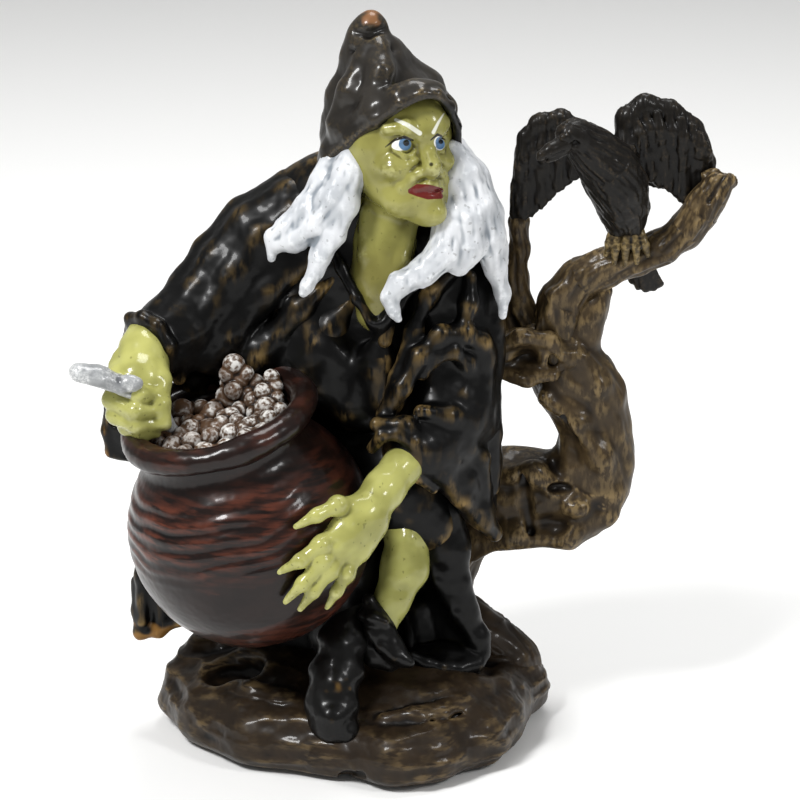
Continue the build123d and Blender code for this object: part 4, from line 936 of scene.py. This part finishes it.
boot = Clay((-12, -28, 12), (8, -6, 42), 0.26)
boot.tube([(-6.2, -14, 34.2, 1.5), (-5.0, -14.8, 31, 2.4), (-4.0, -15.4, 28.2, 2.8), (-1.7, -16.2, 24.8, 2.5),
           (0.6, -17.2, 23, 1.6), (2.0, -17.8, 22.4, 1.0)], soft=1.4)
boot.tube([(-7.6, -15, 31.6, 1.0), (-5.6, -17.2, 31.8, 0.9), (-3.0, -17.4, 31.0, 0.9)], soft=1.2)
boot.tube([(-6.0, -17.0, 28.6, 0.6), (-3.8, -18.2, 26, 0.7), (-1.0, -18.6, 23.8, 0.6)], soft=1.2)
boot.tube([(-7.0, -14, 26, 2.2), (-5, -15, 22.6, 2.2), (-2, -16.2, 21.4, 1.7)], soft=1.6)
cast("left_boot_leather", boot, ["left_boot"], [boot_paint], cloth_texture, rounds=8,
     marks=lambda p: {"press": np.full(len(p), -0.1)})

boot = Clay((-24, -34, 2), (0, -4, 36), 0.28)
boot.tube([(-9.6, -9, 31, 3.6), (-11, -13.4, 26.6, 4.2), (-12.4, -17.2, 21.2, 4.6), (-13.6, -20.4, 15.8, 4.8),
           (-13.9, -22.0, 12, 4.6)], soft=1.6)
boot.tube([(-12.8, -24.4, 11.4, 3.4), (-10.6, -24.6, 10.4, 2.6)], soft=2.0)
for fold in [
    [(-15.4, -14.6, 26.6, 0.9), (-12, -18.0, 26.4, 1.0), (-8, -16.0, 26, 0.9)],
    [(-17.0, -18.0, 20.8, 0.8), (-13, -22.0, 19.8, 0.9), (-8.6, -19.4, 20.6, 0.8)],
    [(-17.6, -22.0, 14.8, 0.8), (-13.8, -25.6, 14.0, 0.9), (-9.4, -23.2, 15, 0.8)],
]:
    boot.tube(fold, soft=3.2)
boot.below(7.4)
overpaint(boot_paint, "gold_patch", "6d5227", soft=1.6, cover=0.7)
cast("right_boot_leather", boot, ["right_boot"], [boot_paint], cloth_texture, rounds=8,
     marks=lambda p: {"gold_patch": 1.9 - np.linalg.norm((p - (-12.4, -22.4, 19.6)) / (1.5, 1.5, 0.8), axis=1)
                      + 1.1 * grain(p, 1.2, 62)})

# ---------------------------------------------------------------- head
# The witch's head and neck are one casting that leans out of the robe and looks to the right. It has a hooked nose,
# high cheekbones and a scowl. The eyes, brows and lips are painted by hand over the olive skin.


def on_face(x, y, z, *size):
    """A point measured on the head: across to its left, towards the back and up, from the middle of the skull."""
    return (-0.8 + 0.8 * x - 0.6 * y, -3.5 + 0.6 * x + 0.8 * y, 123.5 + z, *size)


def from_face(p):
    """The same three measures, for points in the layout."""
    q = p - (-0.8, -3.5, 123.5)
    return 0.8 * q[:, 0] + 0.6 * q[:, 1], -0.6 * q[:, 0] + 0.8 * q[:, 1], q[:, 2]


to_face = [(0.8, 0.6, 0), (-0.6, 0.8, 0), (0, 0, 1)]
head = Clay((-16, -22, 88), (14, 12, 140), 0.22)
head.ball(on_face(0, 1, 2.5), (9.8, 10.3, 11.3), soft=2.5, turn=to_face)
head.ball(on_face(0.4, -3.6, 6.4), (8.6, 6.0, 7.0), soft=3.0, turn=to_face)
head.ball(on_face(0, -3.0, -5.0), (8.0, 7.6, 6.4), soft=3.0, turn=to_face)
head.ball(on_face(0.6, -9.4, -9.9), (4.2, 2.9, 2.9), soft=4.0, turn=to_face)
head.ball(on_face(0, -7.8, -6.0), (4.4, 3.6, 3.8), soft=1.8, turn=to_face)
for side in (-1, 1):
    if side > 0:
        head.ball(on_face(6.6, -3.6, 4.4), (3.6, 4.0, 4.6), soft=2.5, turn=to_face)
    head.ball(on_face(side * 5.6, -6.6, -0.9), (3.2, 2.9, 2.4), soft=2.0, turn=to_face)
    head.ball(on_face(side * 4.4, -6.8, -7.6), (3.0, 3.0, 3.0), soft=2.5, turn=to_face)
    head.ball(on_face(side * 3.9, -10.0, 3.6 - 0.4 * side), (2.6, 2.0, 1.9), soft=2.0, cut=True, turn=to_face)
    head.tube([on_face(side * 7.0, -6.2, 6.8, 0.9), on_face(side * 4.2, -8.8, 7.2, 1.2),
               on_face(side * 1.6, -9.6, 5.4, 1.2)], soft=1.4)
    head.ball(on_face(side * 3.9, -6.75, 3.5 - 0.4 * side), 2.4, soft=0.3)
    head.tube([on_face(side * 6.2, -7.6, 3.4, 0.4), on_face(side * 4.9, -8.9, 5.1, 0.5),
               on_face(side * 3.3, -9.3, 5.3, 0.5),
               on_face(side * 1.9, -9.1, 3.7, 0.4)], soft=0.4)
    head.tube([on_face(side * 6.0, -7.7, 2.8, 0.4), on_face(side * 4.6, -8.9, 1.6, 0.45),
               on_face(side * 3.0, -9.0, 1.6, 0.45),
               on_face(side * 1.9, -8.9, 2.8, 0.35)], soft=0.45)
    head.tube([on_face(side * 6.6, -7.2, 1.2, 0.5), on_face(side * 4.4, -9.0, -0.2, 0.6),
               on_face(side * 2.4, -9.4, 0.6, 0.5)], soft=1.0)
    head.ball(on_face(side * 1.8, -10.4, -1.6), (1.3, 1.4, 1.1), soft=0.9, turn=to_face)
    head.tube([on_face(side * 3.6, -9.8, -2.6, 0.9), on_face(side * 5.0, -9.0, -4.2, 0.8)], soft=1.4)
head.tube([on_face(0, -8.6, 6.2, 1.0), on_face(0, -9.7, 3.4, 1.0), on_face(0, -11.0, 1.2, 1.2),
           on_face(0, -11.9, -0.4, 1.45), on_face(0, -11.9, -1.5, 1.2)], soft=1.3)
head.tube([on_face(0, -11.0, -2.0, 0.9), on_face(0, -10.8, -3.2, 0.8)], soft=0.9)
for side in (-0.8, 0.7):
    head.tube([on_face(side, -9.8, 7.4, 0.3), on_face(side * 1.1, -10.4, 5.6, 0.3)], soft=0.5, cut=True)
upper_lip = [on_face(-4.0, -9.0, -5.4, 0.4), on_face(-2.6, -10.4, -4.5, 0.75), on_face(-0.9, -11.3, -4.0, 0.8),
             on_face(0, -11.4, -4.2, 0.75),
             on_face(0.9, -11.3, -4.0, 0.8), on_face(2.6, -10.4, -4.5, 0.75), on_face(4.0, -9.0, -5.4, 0.4)]
lower_lip = [on_face(-3.9, -9.1, -5.8, 0.4), on_face(-2.2, -10.6, -6.6, 0.85), on_face(0, -11.3, -6.7, 0.95),
             on_face(2.2, -10.6, -6.6, 0.85),
             on_face(3.9, -9.1, -5.8, 0.4)]
head.tube(upper_lip, soft=0.5)
head.tube(lower_lip, soft=0.5)
head.tube([on_face(-2.8, -11.2, -5.3, 0.15), on_face(0, -12.4, -5.4, 0.3), on_face(2.8, -11.2, -5.3, 0.15)],
          soft=0.4, cut=True)
# the neck with two tendons runs down into the collar
head.tube([(-2.2, -0.4, 112, 5.8), (-3.0, -1.8, 105, 5.6), (-4.0, -3.4, 98, 5.4), (-4.6, -4.8, 92, 4.2)], soft=3.0)
head.tube([(-6.6, -4.2, 112, 1.2), (-6.6, -6.8, 104, 1.2), (-5.4, -8.2, 96.6, 1.0)], soft=1.6)
head.tube([(2.6, -4.0, 110, 1.1), (0.4, -6.8, 103, 1.2), (-2.8, -8.2, 96.6, 1.0)], soft=1.6)


def stroke(u, v, run):
    """How deep inside a brush stroke through (u, v, radius) points are, in millimetres."""
    deep = np.full(len(u), -9.0)
    for (au, av, ar), (bu, bv, br) in zip(run, run[1:]):
        du, dv = bu - au, bv - av
        t = np.clip(((u - au) * du + (v - av) * dv) / (du * du + dv * dv + 1e-9), 0, 1)
        deep = np.maximum(deep, ar + t * (br - ar) - np.hypot(u - au - t * du, v - av - t * dv))
    return deep


def face_marks(p):
    """The painted lips, eye whites, irises, pupils, lid lines and brows, a dark spot of painted shade in place of
    the nostril opening, and painted shade that darkens the lower neck below the chin.
    The strokes are set out in millimetres on a flat board that leans back by 17 degrees, as the face was painted."""
    x, y, z = from_face(p)
    front = np.where((y < -4) & (z < 12), 0.0, -9.0)
    u, v = p[:, 0], p[:, 1] * 0.292 + (p[:, 2] - 72.1) * 0.956
    lips = np.maximum(stroke(u, v, [(1.9, 40.3, 0.45), (3.4, 40.9, 0.75), (5.4, 40.8, 0.75), (7.9, 40.5, 0.6)]),
                      stroke(u, v, [(1.9, 40.1, 0.45), (3.4, 39.8, 0.7), (5.4, 39.4, 0.85), (7.8, 39.4, 0.65)]))
    near = 1.0 - np.hypot((u - 0.25) / 2.0, (v - 48.95 - 0.1 * u) / 1.15)
    far = 1.0 - np.hypot((u - 7.6) / 1.15, (v - 49.5) / 1.25)
    white = np.maximum(near, far)
    iris = np.maximum(np.minimum(1.3 - np.hypot(u - 0.95, v - 49.1), near * 2 + 0.7),
                      np.minimum(1.15 - np.hypot((u - 7.75) * 1.1, v - 49.55), far * 2 + 0.5))
    pupil = np.maximum(0.66 - np.hypot(u - 1.2, v - 49.3), 0.52 - np.hypot(u - 7.9, v - 50.0))
    lid = np.maximum(stroke(u, v, [(-2.8, 48.6, 0.2), (-1.0, 49.9, 0.34), (0.8, 50.35, 0.4), (2.5, 49.8, 0.24)]),
                     stroke(u, v, [(5.9, 49.9, 0.2), (7.2, 50.95, 0.34), (8.7, 50.5, 0.22)]))
    brows = np.maximum(stroke(u, v, [(-0.8, 53.7, 0.42), (1.7, 52.4, 0.55), (3.8, 51.1, 0.55)]),
                       stroke(u, v, [(8.5, 55.2, 0.2), (7.4, 53.3, 0.36), (6.4, 51.3, 0.45)]))
    # painted shade: a dark spot stands in for the shadowed nostril opening, which is not carved
    nostril_shade_spot = 0.55 - np.hypot(u - 6.0, v - 45.2)
    named = {"lips": lips, "eye_white": white, "iris": iris, "pupil": pupil, "lid_line": lid, "brows": brows,
             "nostrils": nostril_shade_spot}
    marks = {title: deep + front for title, deep in named.items()}
    # painted shade on the lower neck, stronger the further it runs below the chin into the collar
    marks["neck_painted_shade"] = 107.5 - p[:, 2]
    return marks


# the skin paint again on the face, but with darker ground, wash and highlight colours as painted shade under the
# hat, and with its features painted over it
shaded_face_paint = brushed_paint("face_olive_gloss_paint_with_painted_shade", "93904e", "5a5624", "bab87c", hollow=(-0.02, -0.2),
                           ridge=(0.03, 0.2), patch=(0.25, 0.55), rub=0.65, rough=0.27, varnish=0.5, patch_mm=6.0,
                           bristle_mm=1.4, wear="3c3a14", worn=0.3)
# painted shade: the lower neck is darkened towards the collar, where chin and hair shade it
overpaint(shaded_face_paint, "neck_painted_shade", "605a2c", soft=6.0, cover=0.6)
# the nostril coat in this list is painted shade for the opening; the others are the face's own paint
for title, colour, soft in (("lips", "5e1216", 0.14), ("eye_white", "e8e9e6", 0.1), ("iris", "416a92", 0.2),
                            ("pupil", "07070a", 0.1),
                            ("lid_line", "1a1712", 0.14), ("brows", "d9dacb", 0.2), ("nostrils", "2a260c", 0.3)):
    overpaint(shaded_face_paint, title, colour, soft=soft, cover=0.97)
cast("head_skin", head, ["head"], [shaded_face_paint], lambda p: 0.03 * grain(p, 1.5, 63)
     + 0.05 * grain(p, 3.0, 64),
     rounds=22, marks=face_marks)

# ---------------------------------------------------------------- hat
# The hood-like hat is one casting over the head, with a turned-up rim round the face and a crumpled point. It is
# painted charcoal and dry-brushed with bronze, and the worn tip is orange.

# charcoal paint with bronze dry-brushed along the rim and the creases
hat_paint = brushed_paint("hat_charcoal_bronze_paint", "2b2824", "0f0d0b", "86734f", hollow=(0.02, -0.25),
                          ridge=(0.0, 0.4), patch=(0.3, 0.62), rub=0.6, rough=0.36, varnish=0.3, metal=0.45,
                          patch_mm=6.0, bristle_mm=0.6)
overpaint(hat_paint, "tip", "875c3a", soft=1.6, cover=0.7)
# painted shade: near-black on the inside of the rim round the face, where the brim shades it
overpaint(hat_paint, "brim_shade", "080707", soft=1.0)
hat = Clay((-22, -20, 114), (16, 20, 157), 0.28)
hat.ball((-2.2, 3.0, 127.6), (12.2, 12.2, 12.0), soft=3.0)
hat.tube([(-2.2, 1.6, 133, 8.8), (-4.2, 1.4, 137.8, 5.9), (-5.0, 1.5, 141.6, 4.4), (-5.9, 1.7, 144.6, 3.3),
          (-5.8, 2.0, 147.0, 2.5), (-5.6, 2, 148.2, 2.4)], soft=2.5)
rim = [(-16.8, -1.6, 118.8, 0.9), (-14.2, -4.0, 122.6, 0.9), (-9.8, -8.6, 127.4, 0.95), (-4.8, -12.4, 131.9, 0.95),
       (0.1, -14.2, 135.7, 0.95),
       (4.0, -13.8, 137.4, 0.9), (7.1, -12.8, 137.2, 0.85), (9.6, -10.0, 134.2, 0.8), (11.2, -6, 129.4, 0.75),
       (11.4, -3, 125.0, 0.7)]
hat.tube([(-14.0, 1.4, 119.6, 2.6), (-12.6, -1.4, 123.2, 2.6), (-9.0, -6.0, 128.4, 2.6), (-4.6, -9.6, 132.8, 2.7),
          (0.2, -11.6, 136.0, 2.4), (3.8, -11.0, 136.9, 2.2),
          (6.2, -9.8, 136.2, 2.2), (8.2, -7.0, 133.0, 2.2), (9.0, -3.0, 128.6, 2.2), (9.2, 2, 124, 2.4)], soft=3.0)
hat.ball(on_face(0.6, -9.6, 1.4), (11.0, 8.4, 12.4), soft=0.8, cut=True, turn=to_face)
hat.ball(on_face(0, 0, -8), (10.0, 10.0, 12), soft=1.0, cut=True, turn=to_face)
hat.tube(rim, soft=0.9)
for crease in [
    [(-9.4, -1.2, 143.4, 0.9), (-5.2, -3.4, 142.6, 1.1), (-0.6, -1.0, 144.4, 0.9)],
    [(-8.8, -0.6, 147.0, 0.7), (-5.8, -1.8, 146.6, 0.9), (-2.6, 0.2, 147.6, 0.7)],
    [(-11.8, -3, 134, 0.8), (-7.2, -5.0, 139.4, 1.0), (-3.4, -4.8, 141.8, 0.8)],
    [(-9.6, 6.6, 139, 0.9), (-4, 8.2, 141.4, 1.1), (2, 6.4, 140, 0.9)],
]:
    hat.tube(crease, soft=1.2, cut=True)
for fold in [
    [(-12.6, -3.4, 130, 1.4), (-9.8, -4.2, 136, 1.5), (-7.2, -3.0, 141.6, 1.1)],
    [(-5.0, -8.0, 136.4, 1.2), (-3.4, -5.8, 140.4, 1.2), (-4.0, -2.8, 144, 0.8)],
    [(-14, 3.4, 126, 1.3), (-12, 3.6, 134, 1.5), (-9.2, 2.8, 141, 1.3), (-8.6, 2.2, 146, 1.0)],
    [(-9, 13, 124, 1.4), (-8, 10.8, 133, 1.6), (-6.8, 6.4, 141, 1.3)],
    [(2, 14, 126, 1.4), (0, 11, 135, 1.6), (-3.6, 6, 142, 1.3)],
    [(9.6, 8, 127, 1.3), (5.6, 6.8, 135.6, 1.5), (-0.8, 3.6, 142.6, 1.3)],
]:
    hat.tube(fold, soft=4.0)
hat.below(117.5)


def hat_marks(p):
    """The orange worn tip, and painted shade darkening the underside of the rim round the face."""
    x, y, z = from_face(p)
    return {"press": 0.35 * (z > 14) + 0.1, "tip": z - 25.2 + 1.8 * grain(p, 1.6, 65),
            "brim_shade": np.where(y < 2, 0.6, -9.0) + 9.9 - np.hypot(x, (z - 0.5) * 0.84)}


cast("hat_felt", hat, ["hat"], [hat_paint], lambda p: 0.16 * grain(p, 2.6, 66)
     + 0.05 * grain(p, 1.0, 67), rounds=14,
     marks=hat_marks)

# ---------------------------------------------------------------- hair
# Two castings of long wavy strands hang from under the hat on to the shoulders. They are painted gloss white, with
# grey left in the grooves between the strands.

# gloss white hair paint with grey in the grooves
hair_paint = brushed_paint("hair_white_gloss_paint", "d3d5d8", "7f868d", "eef0f2", hollow=(0.03, -0.13),
                           ridge=(0.02, 0.2), patch=(0.2, 0.5), rub=0.7, rough=0.34, varnish=0.25, patch_mm=6.0,
                           bristle_mm=1.0, wear="4a4a44", worn=0.35)
right_locks = [
    [(-8.4, -5.4, 126, 2.4), (-9.8, -7.6, 121, 3.0), (-12.6, -8.4, 115.6, 3.4), (-16.4, -8.6, 110.6, 3.2),
     (-20.6, -8.4, 107.6, 2.4), (-23.6, -8.0, 106.4, 1.6)],
    [(-11.6, -2.4, 124, 2.8), (-14.4, -5.0, 118.4, 3.0), (-18.0, -6.6, 113, 2.8), (-22.2, -7.0, 109.6, 2.0),
     (-25.0, -7.0, 107.6, 1.3), (-25.2, -7.4, 103.4, 0.7)],
    [(-8.8, -7.0, 120, 1.9), (-10.6, -9.0, 114.6, 2.4), (-13.0, -10.2, 109, 2.2), (-15.6, -11.0, 104.6, 1.9),
     (-16.6, -11.6, 101.6, 1.4), (-18.2, -12.0, 99.0, 1.1), (-19.0, -12.2, 97.6, 0.7)],
]
left_locks = [
    [(10.4, -4.0, 124.6, 1.8), (12.6, -4.8, 120.0, 2.8), (15.0, -5.0, 113.6, 3.4), (17.2, -4.6, 107.0, 3.3),
     (18.8, -4.0, 100.6, 2.1), (20.4, -3.4, 95.2, 1.4), (20.4, -3.6, 90.8, 0.7)],
    [(11.0, -1.0, 124, 2.4), (14.4, -1.8, 118.4, 3.0), (17.0, -2.0, 111, 3.2), (18.6, -1.8, 104, 2.6),
     (19.4, -1.8, 99, 1.6)],
    [(8.4, -7.0, 114.6, 2.0), (9.8, -8.8, 110.0, 3.2), (8.6, -10.4, 105.4, 3.2), (4.4, -12.0, 101.8, 2.6),
     (0.0, -12.8, 99.8, 2.2), (-2.0, -13.2, 97.2, 1.6), (-1.2, -13.6, 94.4, 1.0), (-0.4, -13.8, 92.8, 0.6)],
    [(10.2, -5.8, 118, 2.4), (12.8, -7.4, 111.6, 3.4), (13.2, -8.4, 106, 3.3), (11.6, -9.6, 102.4, 2.0)],
    [(11.0, 2.0, 123, 2.4), (14.6, 2.0, 116, 3.0), (17.0, 1.2, 108, 2.6), (18.4, 0.4, 102, 1.5)],
]
for title, node, locks, low, high in (("right_locks", "right_hair", right_locks, (-31, -15, 94), (-4, 6, 131)),
                                      ("left_locks", "left_hair", left_locks, (-6, -18, 86), (26, 8, 131))):
    hair = Clay(low, high, 0.26)
    for n, lock in enumerate(locks):
        hair.tube(lock, soft=1.6)
        # finer strands twist over each lock, and grooves run between them
        hair.tube(beside(lock, -60 + 31 * n % 50, 20, -0.35, 0.95), soft=0.6)
        hair.tube(beside(lock, -5, 30, -0.3, 0.8), soft=0.6)
        hair.tube(beside(lock, 50, -20 + 17 * n % 40, -0.3, 0.85), soft=0.6)
    cast(title, hair, [node], [hair_paint], lambda p: 0.13 * grain(p, (0.8, 0.8, 3.2), 68)
         + 0.1 * grain(p, 2.4, 69), rounds=14)

# ---------------------------------------------------------------- hands
# The right hand is a fist round the ladle over the cauldron's lip, and the left lies on the belly of the pot with
# its long fingers spread. Both are cast resin in the same olive paint and are set into the cuffs on dowels.

fist = Clay((-64, -30, 62), (-38, 0, 96), 0.24)
fist.tube([(-50, -5.4, 87, 4.2), (-50.6, -8.6, 84.6, 4.6), (-51.2, -12.6, 80.6, 5.4)], soft=2.5)
fist.ball((-51.4, -14.4, 79.4), (5.4, 4.6, 5.6), soft=2.0)
for finger in [
    # the four fingers fold over the shaft from the knuckles at the left, and the thumb closes from the right
    [(-55.6, -11.6, 82.6, 1.9), (-55.4, -17.4, 80.8, 1.8), (-50.6, -20.2, 79.4, 1.6), (-47.6, -18.2, 78.6, 1.2)],
    [(-56.2, -11.6, 79.4, 1.9), (-56.2, -18.0, 77.6, 1.8), (-51.4, -21.0, 76.2, 1.7), (-47.6, -19.2, 75.8, 1.3)],
    [(-55.8, -11.8, 76.0, 1.8), (-55.6, -18.0, 74.4, 1.7), (-51.2, -20.8, 73.2, 1.6), (-47.8, -19.6, 73.0, 1.3)],
    [(-54.4, -12.4, 73.2, 1.6), (-53.6, -17.2, 71.8, 1.5), (-50.2, -19.6, 71.2, 1.4), (-47.8, -19.0, 71.2, 1.1)],
    [(-48.4, -9.6, 84, 2.2), (-47.0, -14.6, 80.6, 2.1), (-46.8, -18.0, 76.6, 1.9), (-45.8, -19.6, 73.2, 1.3)],
]:
    fist.tube(finger, soft=1.1)
for knuckle in ((-55.4, -10.2, 84.0), (-56.4, -11.0, 80.6), (-55.8, -11.6, 77.2), (-55.4, -17.6, 81.2),
                (-56.2, -18.2, 78.0), (-55.6, -18.2, 74.8)):
    fist.ball(knuckle, 1.3, soft=1.0)
for tendon in ([(-50, -6.6, 90.0, 0.6), (-53.4, -9.4, 85.4, 0.7)],
               [(-48.2, -8.2, 89.4, 0.6), (-50, -11.4, 85.8, 0.6)]):
    fist.tube(tendon, soft=0.9)
cast("right_fist", fist, ["right_hand"], [skin_paint], lambda p: 0.08 * grain(p, 1.5, 71), rounds=12)

palm = Clay((-30, -44, 32), (8, -6, 72), 0.24)
palm.tube([(3.6, -11.6, 65.4, 3.6), (0.4, -16, 63.4, 3.8), (-3.0, -21, 60.4, 3.9), (-6.4, -25.4, 57, 4.1)],
          soft=1.5)
palm.tube([(-7.4, -27, 56.6, 3.6), (-11.4, -29.6, 52.6, 3.4)], soft=2.0)
palm.tube([(-6.0, -25.6, 54.6, 3.6), (-8.4, -27.6, 50.4, 3.0)], soft=2.0)
palm.tube([(-6.5, -26, 57, 3.2), (-10.8, -29.4, 55.4, 2.6)], soft=2.0)
palm.tube([(-9.8, -28.8, 53.2, 3.0), (-9.2, -28.6, 50.6, 2.6)], soft=2.0)
fingers = [
    [(-8.4, -26.4, 58.6, 2.1), (-12.0, -29.8, 60.0, 1.6), (-16.0, -32.4, 58.8, 1.35), (-20.0, -33.2, 56.8, 0.6)],
    [(-11.4, -29.6, 55.0, 2.0), (-15.2, -33.0, 53.0, 1.55), (-19.2, -34.4, 50.2, 1.35), (-23.3, -33.6, 47.6, 0.6)],
    [(-11.4, -30.0, 52.8, 2.0), (-15.0, -33.4, 49.6, 1.55), (-18.8, -34.6, 45.6, 1.3), (-22.2, -33.4, 41.4, 0.6)],
    [(-10.4, -29.6, 51.2, 1.9), (-13.6, -32.8, 47.6, 1.55), (-16.8, -33.8, 43.6, 1.25), (-19.4, -32.6, 39.6, 0.6)],
    [(-8.6, -28.4, 50.0, 1.8), (-10.4, -31.2, 46.4, 1.4), (-12.4, -31.8, 42.8, 1.15), (-14.2, -30.6, 39.2, 0.55)],
]
for finger in fingers:
    palm.tube(finger, soft=1.0)
    x, y, z, r = finger[1]
    palm.ball((x, y - 0.2, z), r + 0.1, soft=1.2)
    x, y, z, r = finger[0]
    palm.tube([(x + 4, y + 2.2, z + 3.2, 0.6), (x + 1.2, y - 0.8, z + 0.8, 0.9), (x - 1.0, y - 2.0, z - 0.6, 0.9)],
              soft=1.4)
cast("left_palm", palm, ["left_hand"], [skin_paint], lambda p: 0.07 * grain(p, 1.5, 72), rounds=12)

# ---------------------------------------------------------------- dowels
# Short steel pins hidden inside the castings, ground from bright drawn wire.

# bright drawn steel, slightly streaked
steel = bpy.data.materials.new("dowel_bright_drawn_steel")
steel.use_nodes = True
shader = steel.node_tree.nodes["Principled BSDF"]
place = add_node(steel.node_tree, "ShaderNodeTexCoord", out=3)
drawn = add_node(steel.node_tree, "ShaderNodeTexNoise", i0=place, i2=1 / 0.0006, i3=2.0)
tint = add_node(steel.node_tree, "ShaderNodeMix", COLOURS, out=2, i0=drawn, i6=linear("8f9194"),
                i7=linear("c2c4c6"))
steel.node_tree.links.new(tint, shader.inputs["Base Color"])
shader.inputs["Metallic"].default_value = 1.0
shader.inputs["Roughness"].default_value = 0.3
for item in bpy.data.objects:
    if item.type == "MESH" and "dowel" in item.name:
        item.data.materials.clear()
        item.data.materials.append(steel)

# ---------------------------------------------------------------- studio
# A plain pale floor that runs up behind, one large soft light above and to the left, a weaker one at the right.

floor_mesh = bpy.data.meshes.new("floor")
rise = [(-1.6, 0.0), (1.3, 0.0), (1.6, 0.04), (1.8, 0.16), (1.88, 0.4), (1.9, 2.2)]
corners = [(x, y, z + foot[2] / 1000 - 0.0002) for y, z in rise for x in (-2.2, 2.2)]
floor_mesh.from_pydata(corners, [], [(2 * k, 2 * k + 1, 2 * k + 3, 2 * k + 2) for k in range(len(rise) - 1)])
floor_mesh.polygons.foreach_set("use_smooth", np.ones(len(floor_mesh.polygons), bool))
floor = bpy.data.objects.new("floor", floor_mesh)
bpy.context.scene.collection.objects.link(floor)
paper = bpy.data.materials.new("white_background_paper")
paper.use_nodes = True
shader = paper.node_tree.nodes["Principled BSDF"]
shader.inputs["Base Color"].default_value = linear("f4f4f3")
shader.inputs["Roughness"].default_value = 0.9
shader.inputs["IOR"].default_value = 1.3
floor_mesh.materials.append(paper)

world = bpy.data.worlds.new("studio")
world.use_nodes = True
world.node_tree.nodes["Background"].inputs[0].default_value = (1.0, 1.0, 1.0, 1)
world.node_tree.nodes["Background"].inputs[1].default_value = 0.3
bpy.context.scene.world = world
centre = Vector((foot[0] / 1000, foot[1] / 1000, (foot[2] + 72.1) / 1000))
for title, away, size, watts in (
    ("softbox_above_left", (-0.45, -0.45, 0.72), 0.26, 8.5),
    ("softbox_right", (0.6, -0.42, 0.5), 0.2, 2.2),
    ("softbox_above", (0.1, 0.25, 0.95), 0.5, 6.5),
):
    light = bpy.data.lights.new(title, "AREA")
    light.shape, light.size, light.energy = "DISK", size, watts
    lamp = bpy.data.objects.new(title, light)
    lamp.location = centre + Vector(away)
    lamp.rotation_euler = (-Vector(away)).to_track_quat("-Z", "Y").to_euler()
    bpy.context.scene.collection.objects.link(lamp)

# the lens looks down by 17 degrees from 0.6 m away, where 161 mm fit across the view
lean, distance, across = math.radians(17), 0.6, 5 / 31
lens = bpy.data.cameras.new("studio_camera")
lens.sensor_width, lens.lens = 36.0, 36.0 * distance / across
camera = bpy.data.objects.new("studio_camera", lens)
camera.location = centre + Vector((0, -math.cos(lean), math.sin(lean))) * distance
camera.rotation_euler = (math.pi / 2 - lean, 0, 0)
bpy.context.scene.collection.objects.link(camera)
bpy.context.scene.camera = camera
bpy.context.scene.view_settings.view_transform = "Standard"
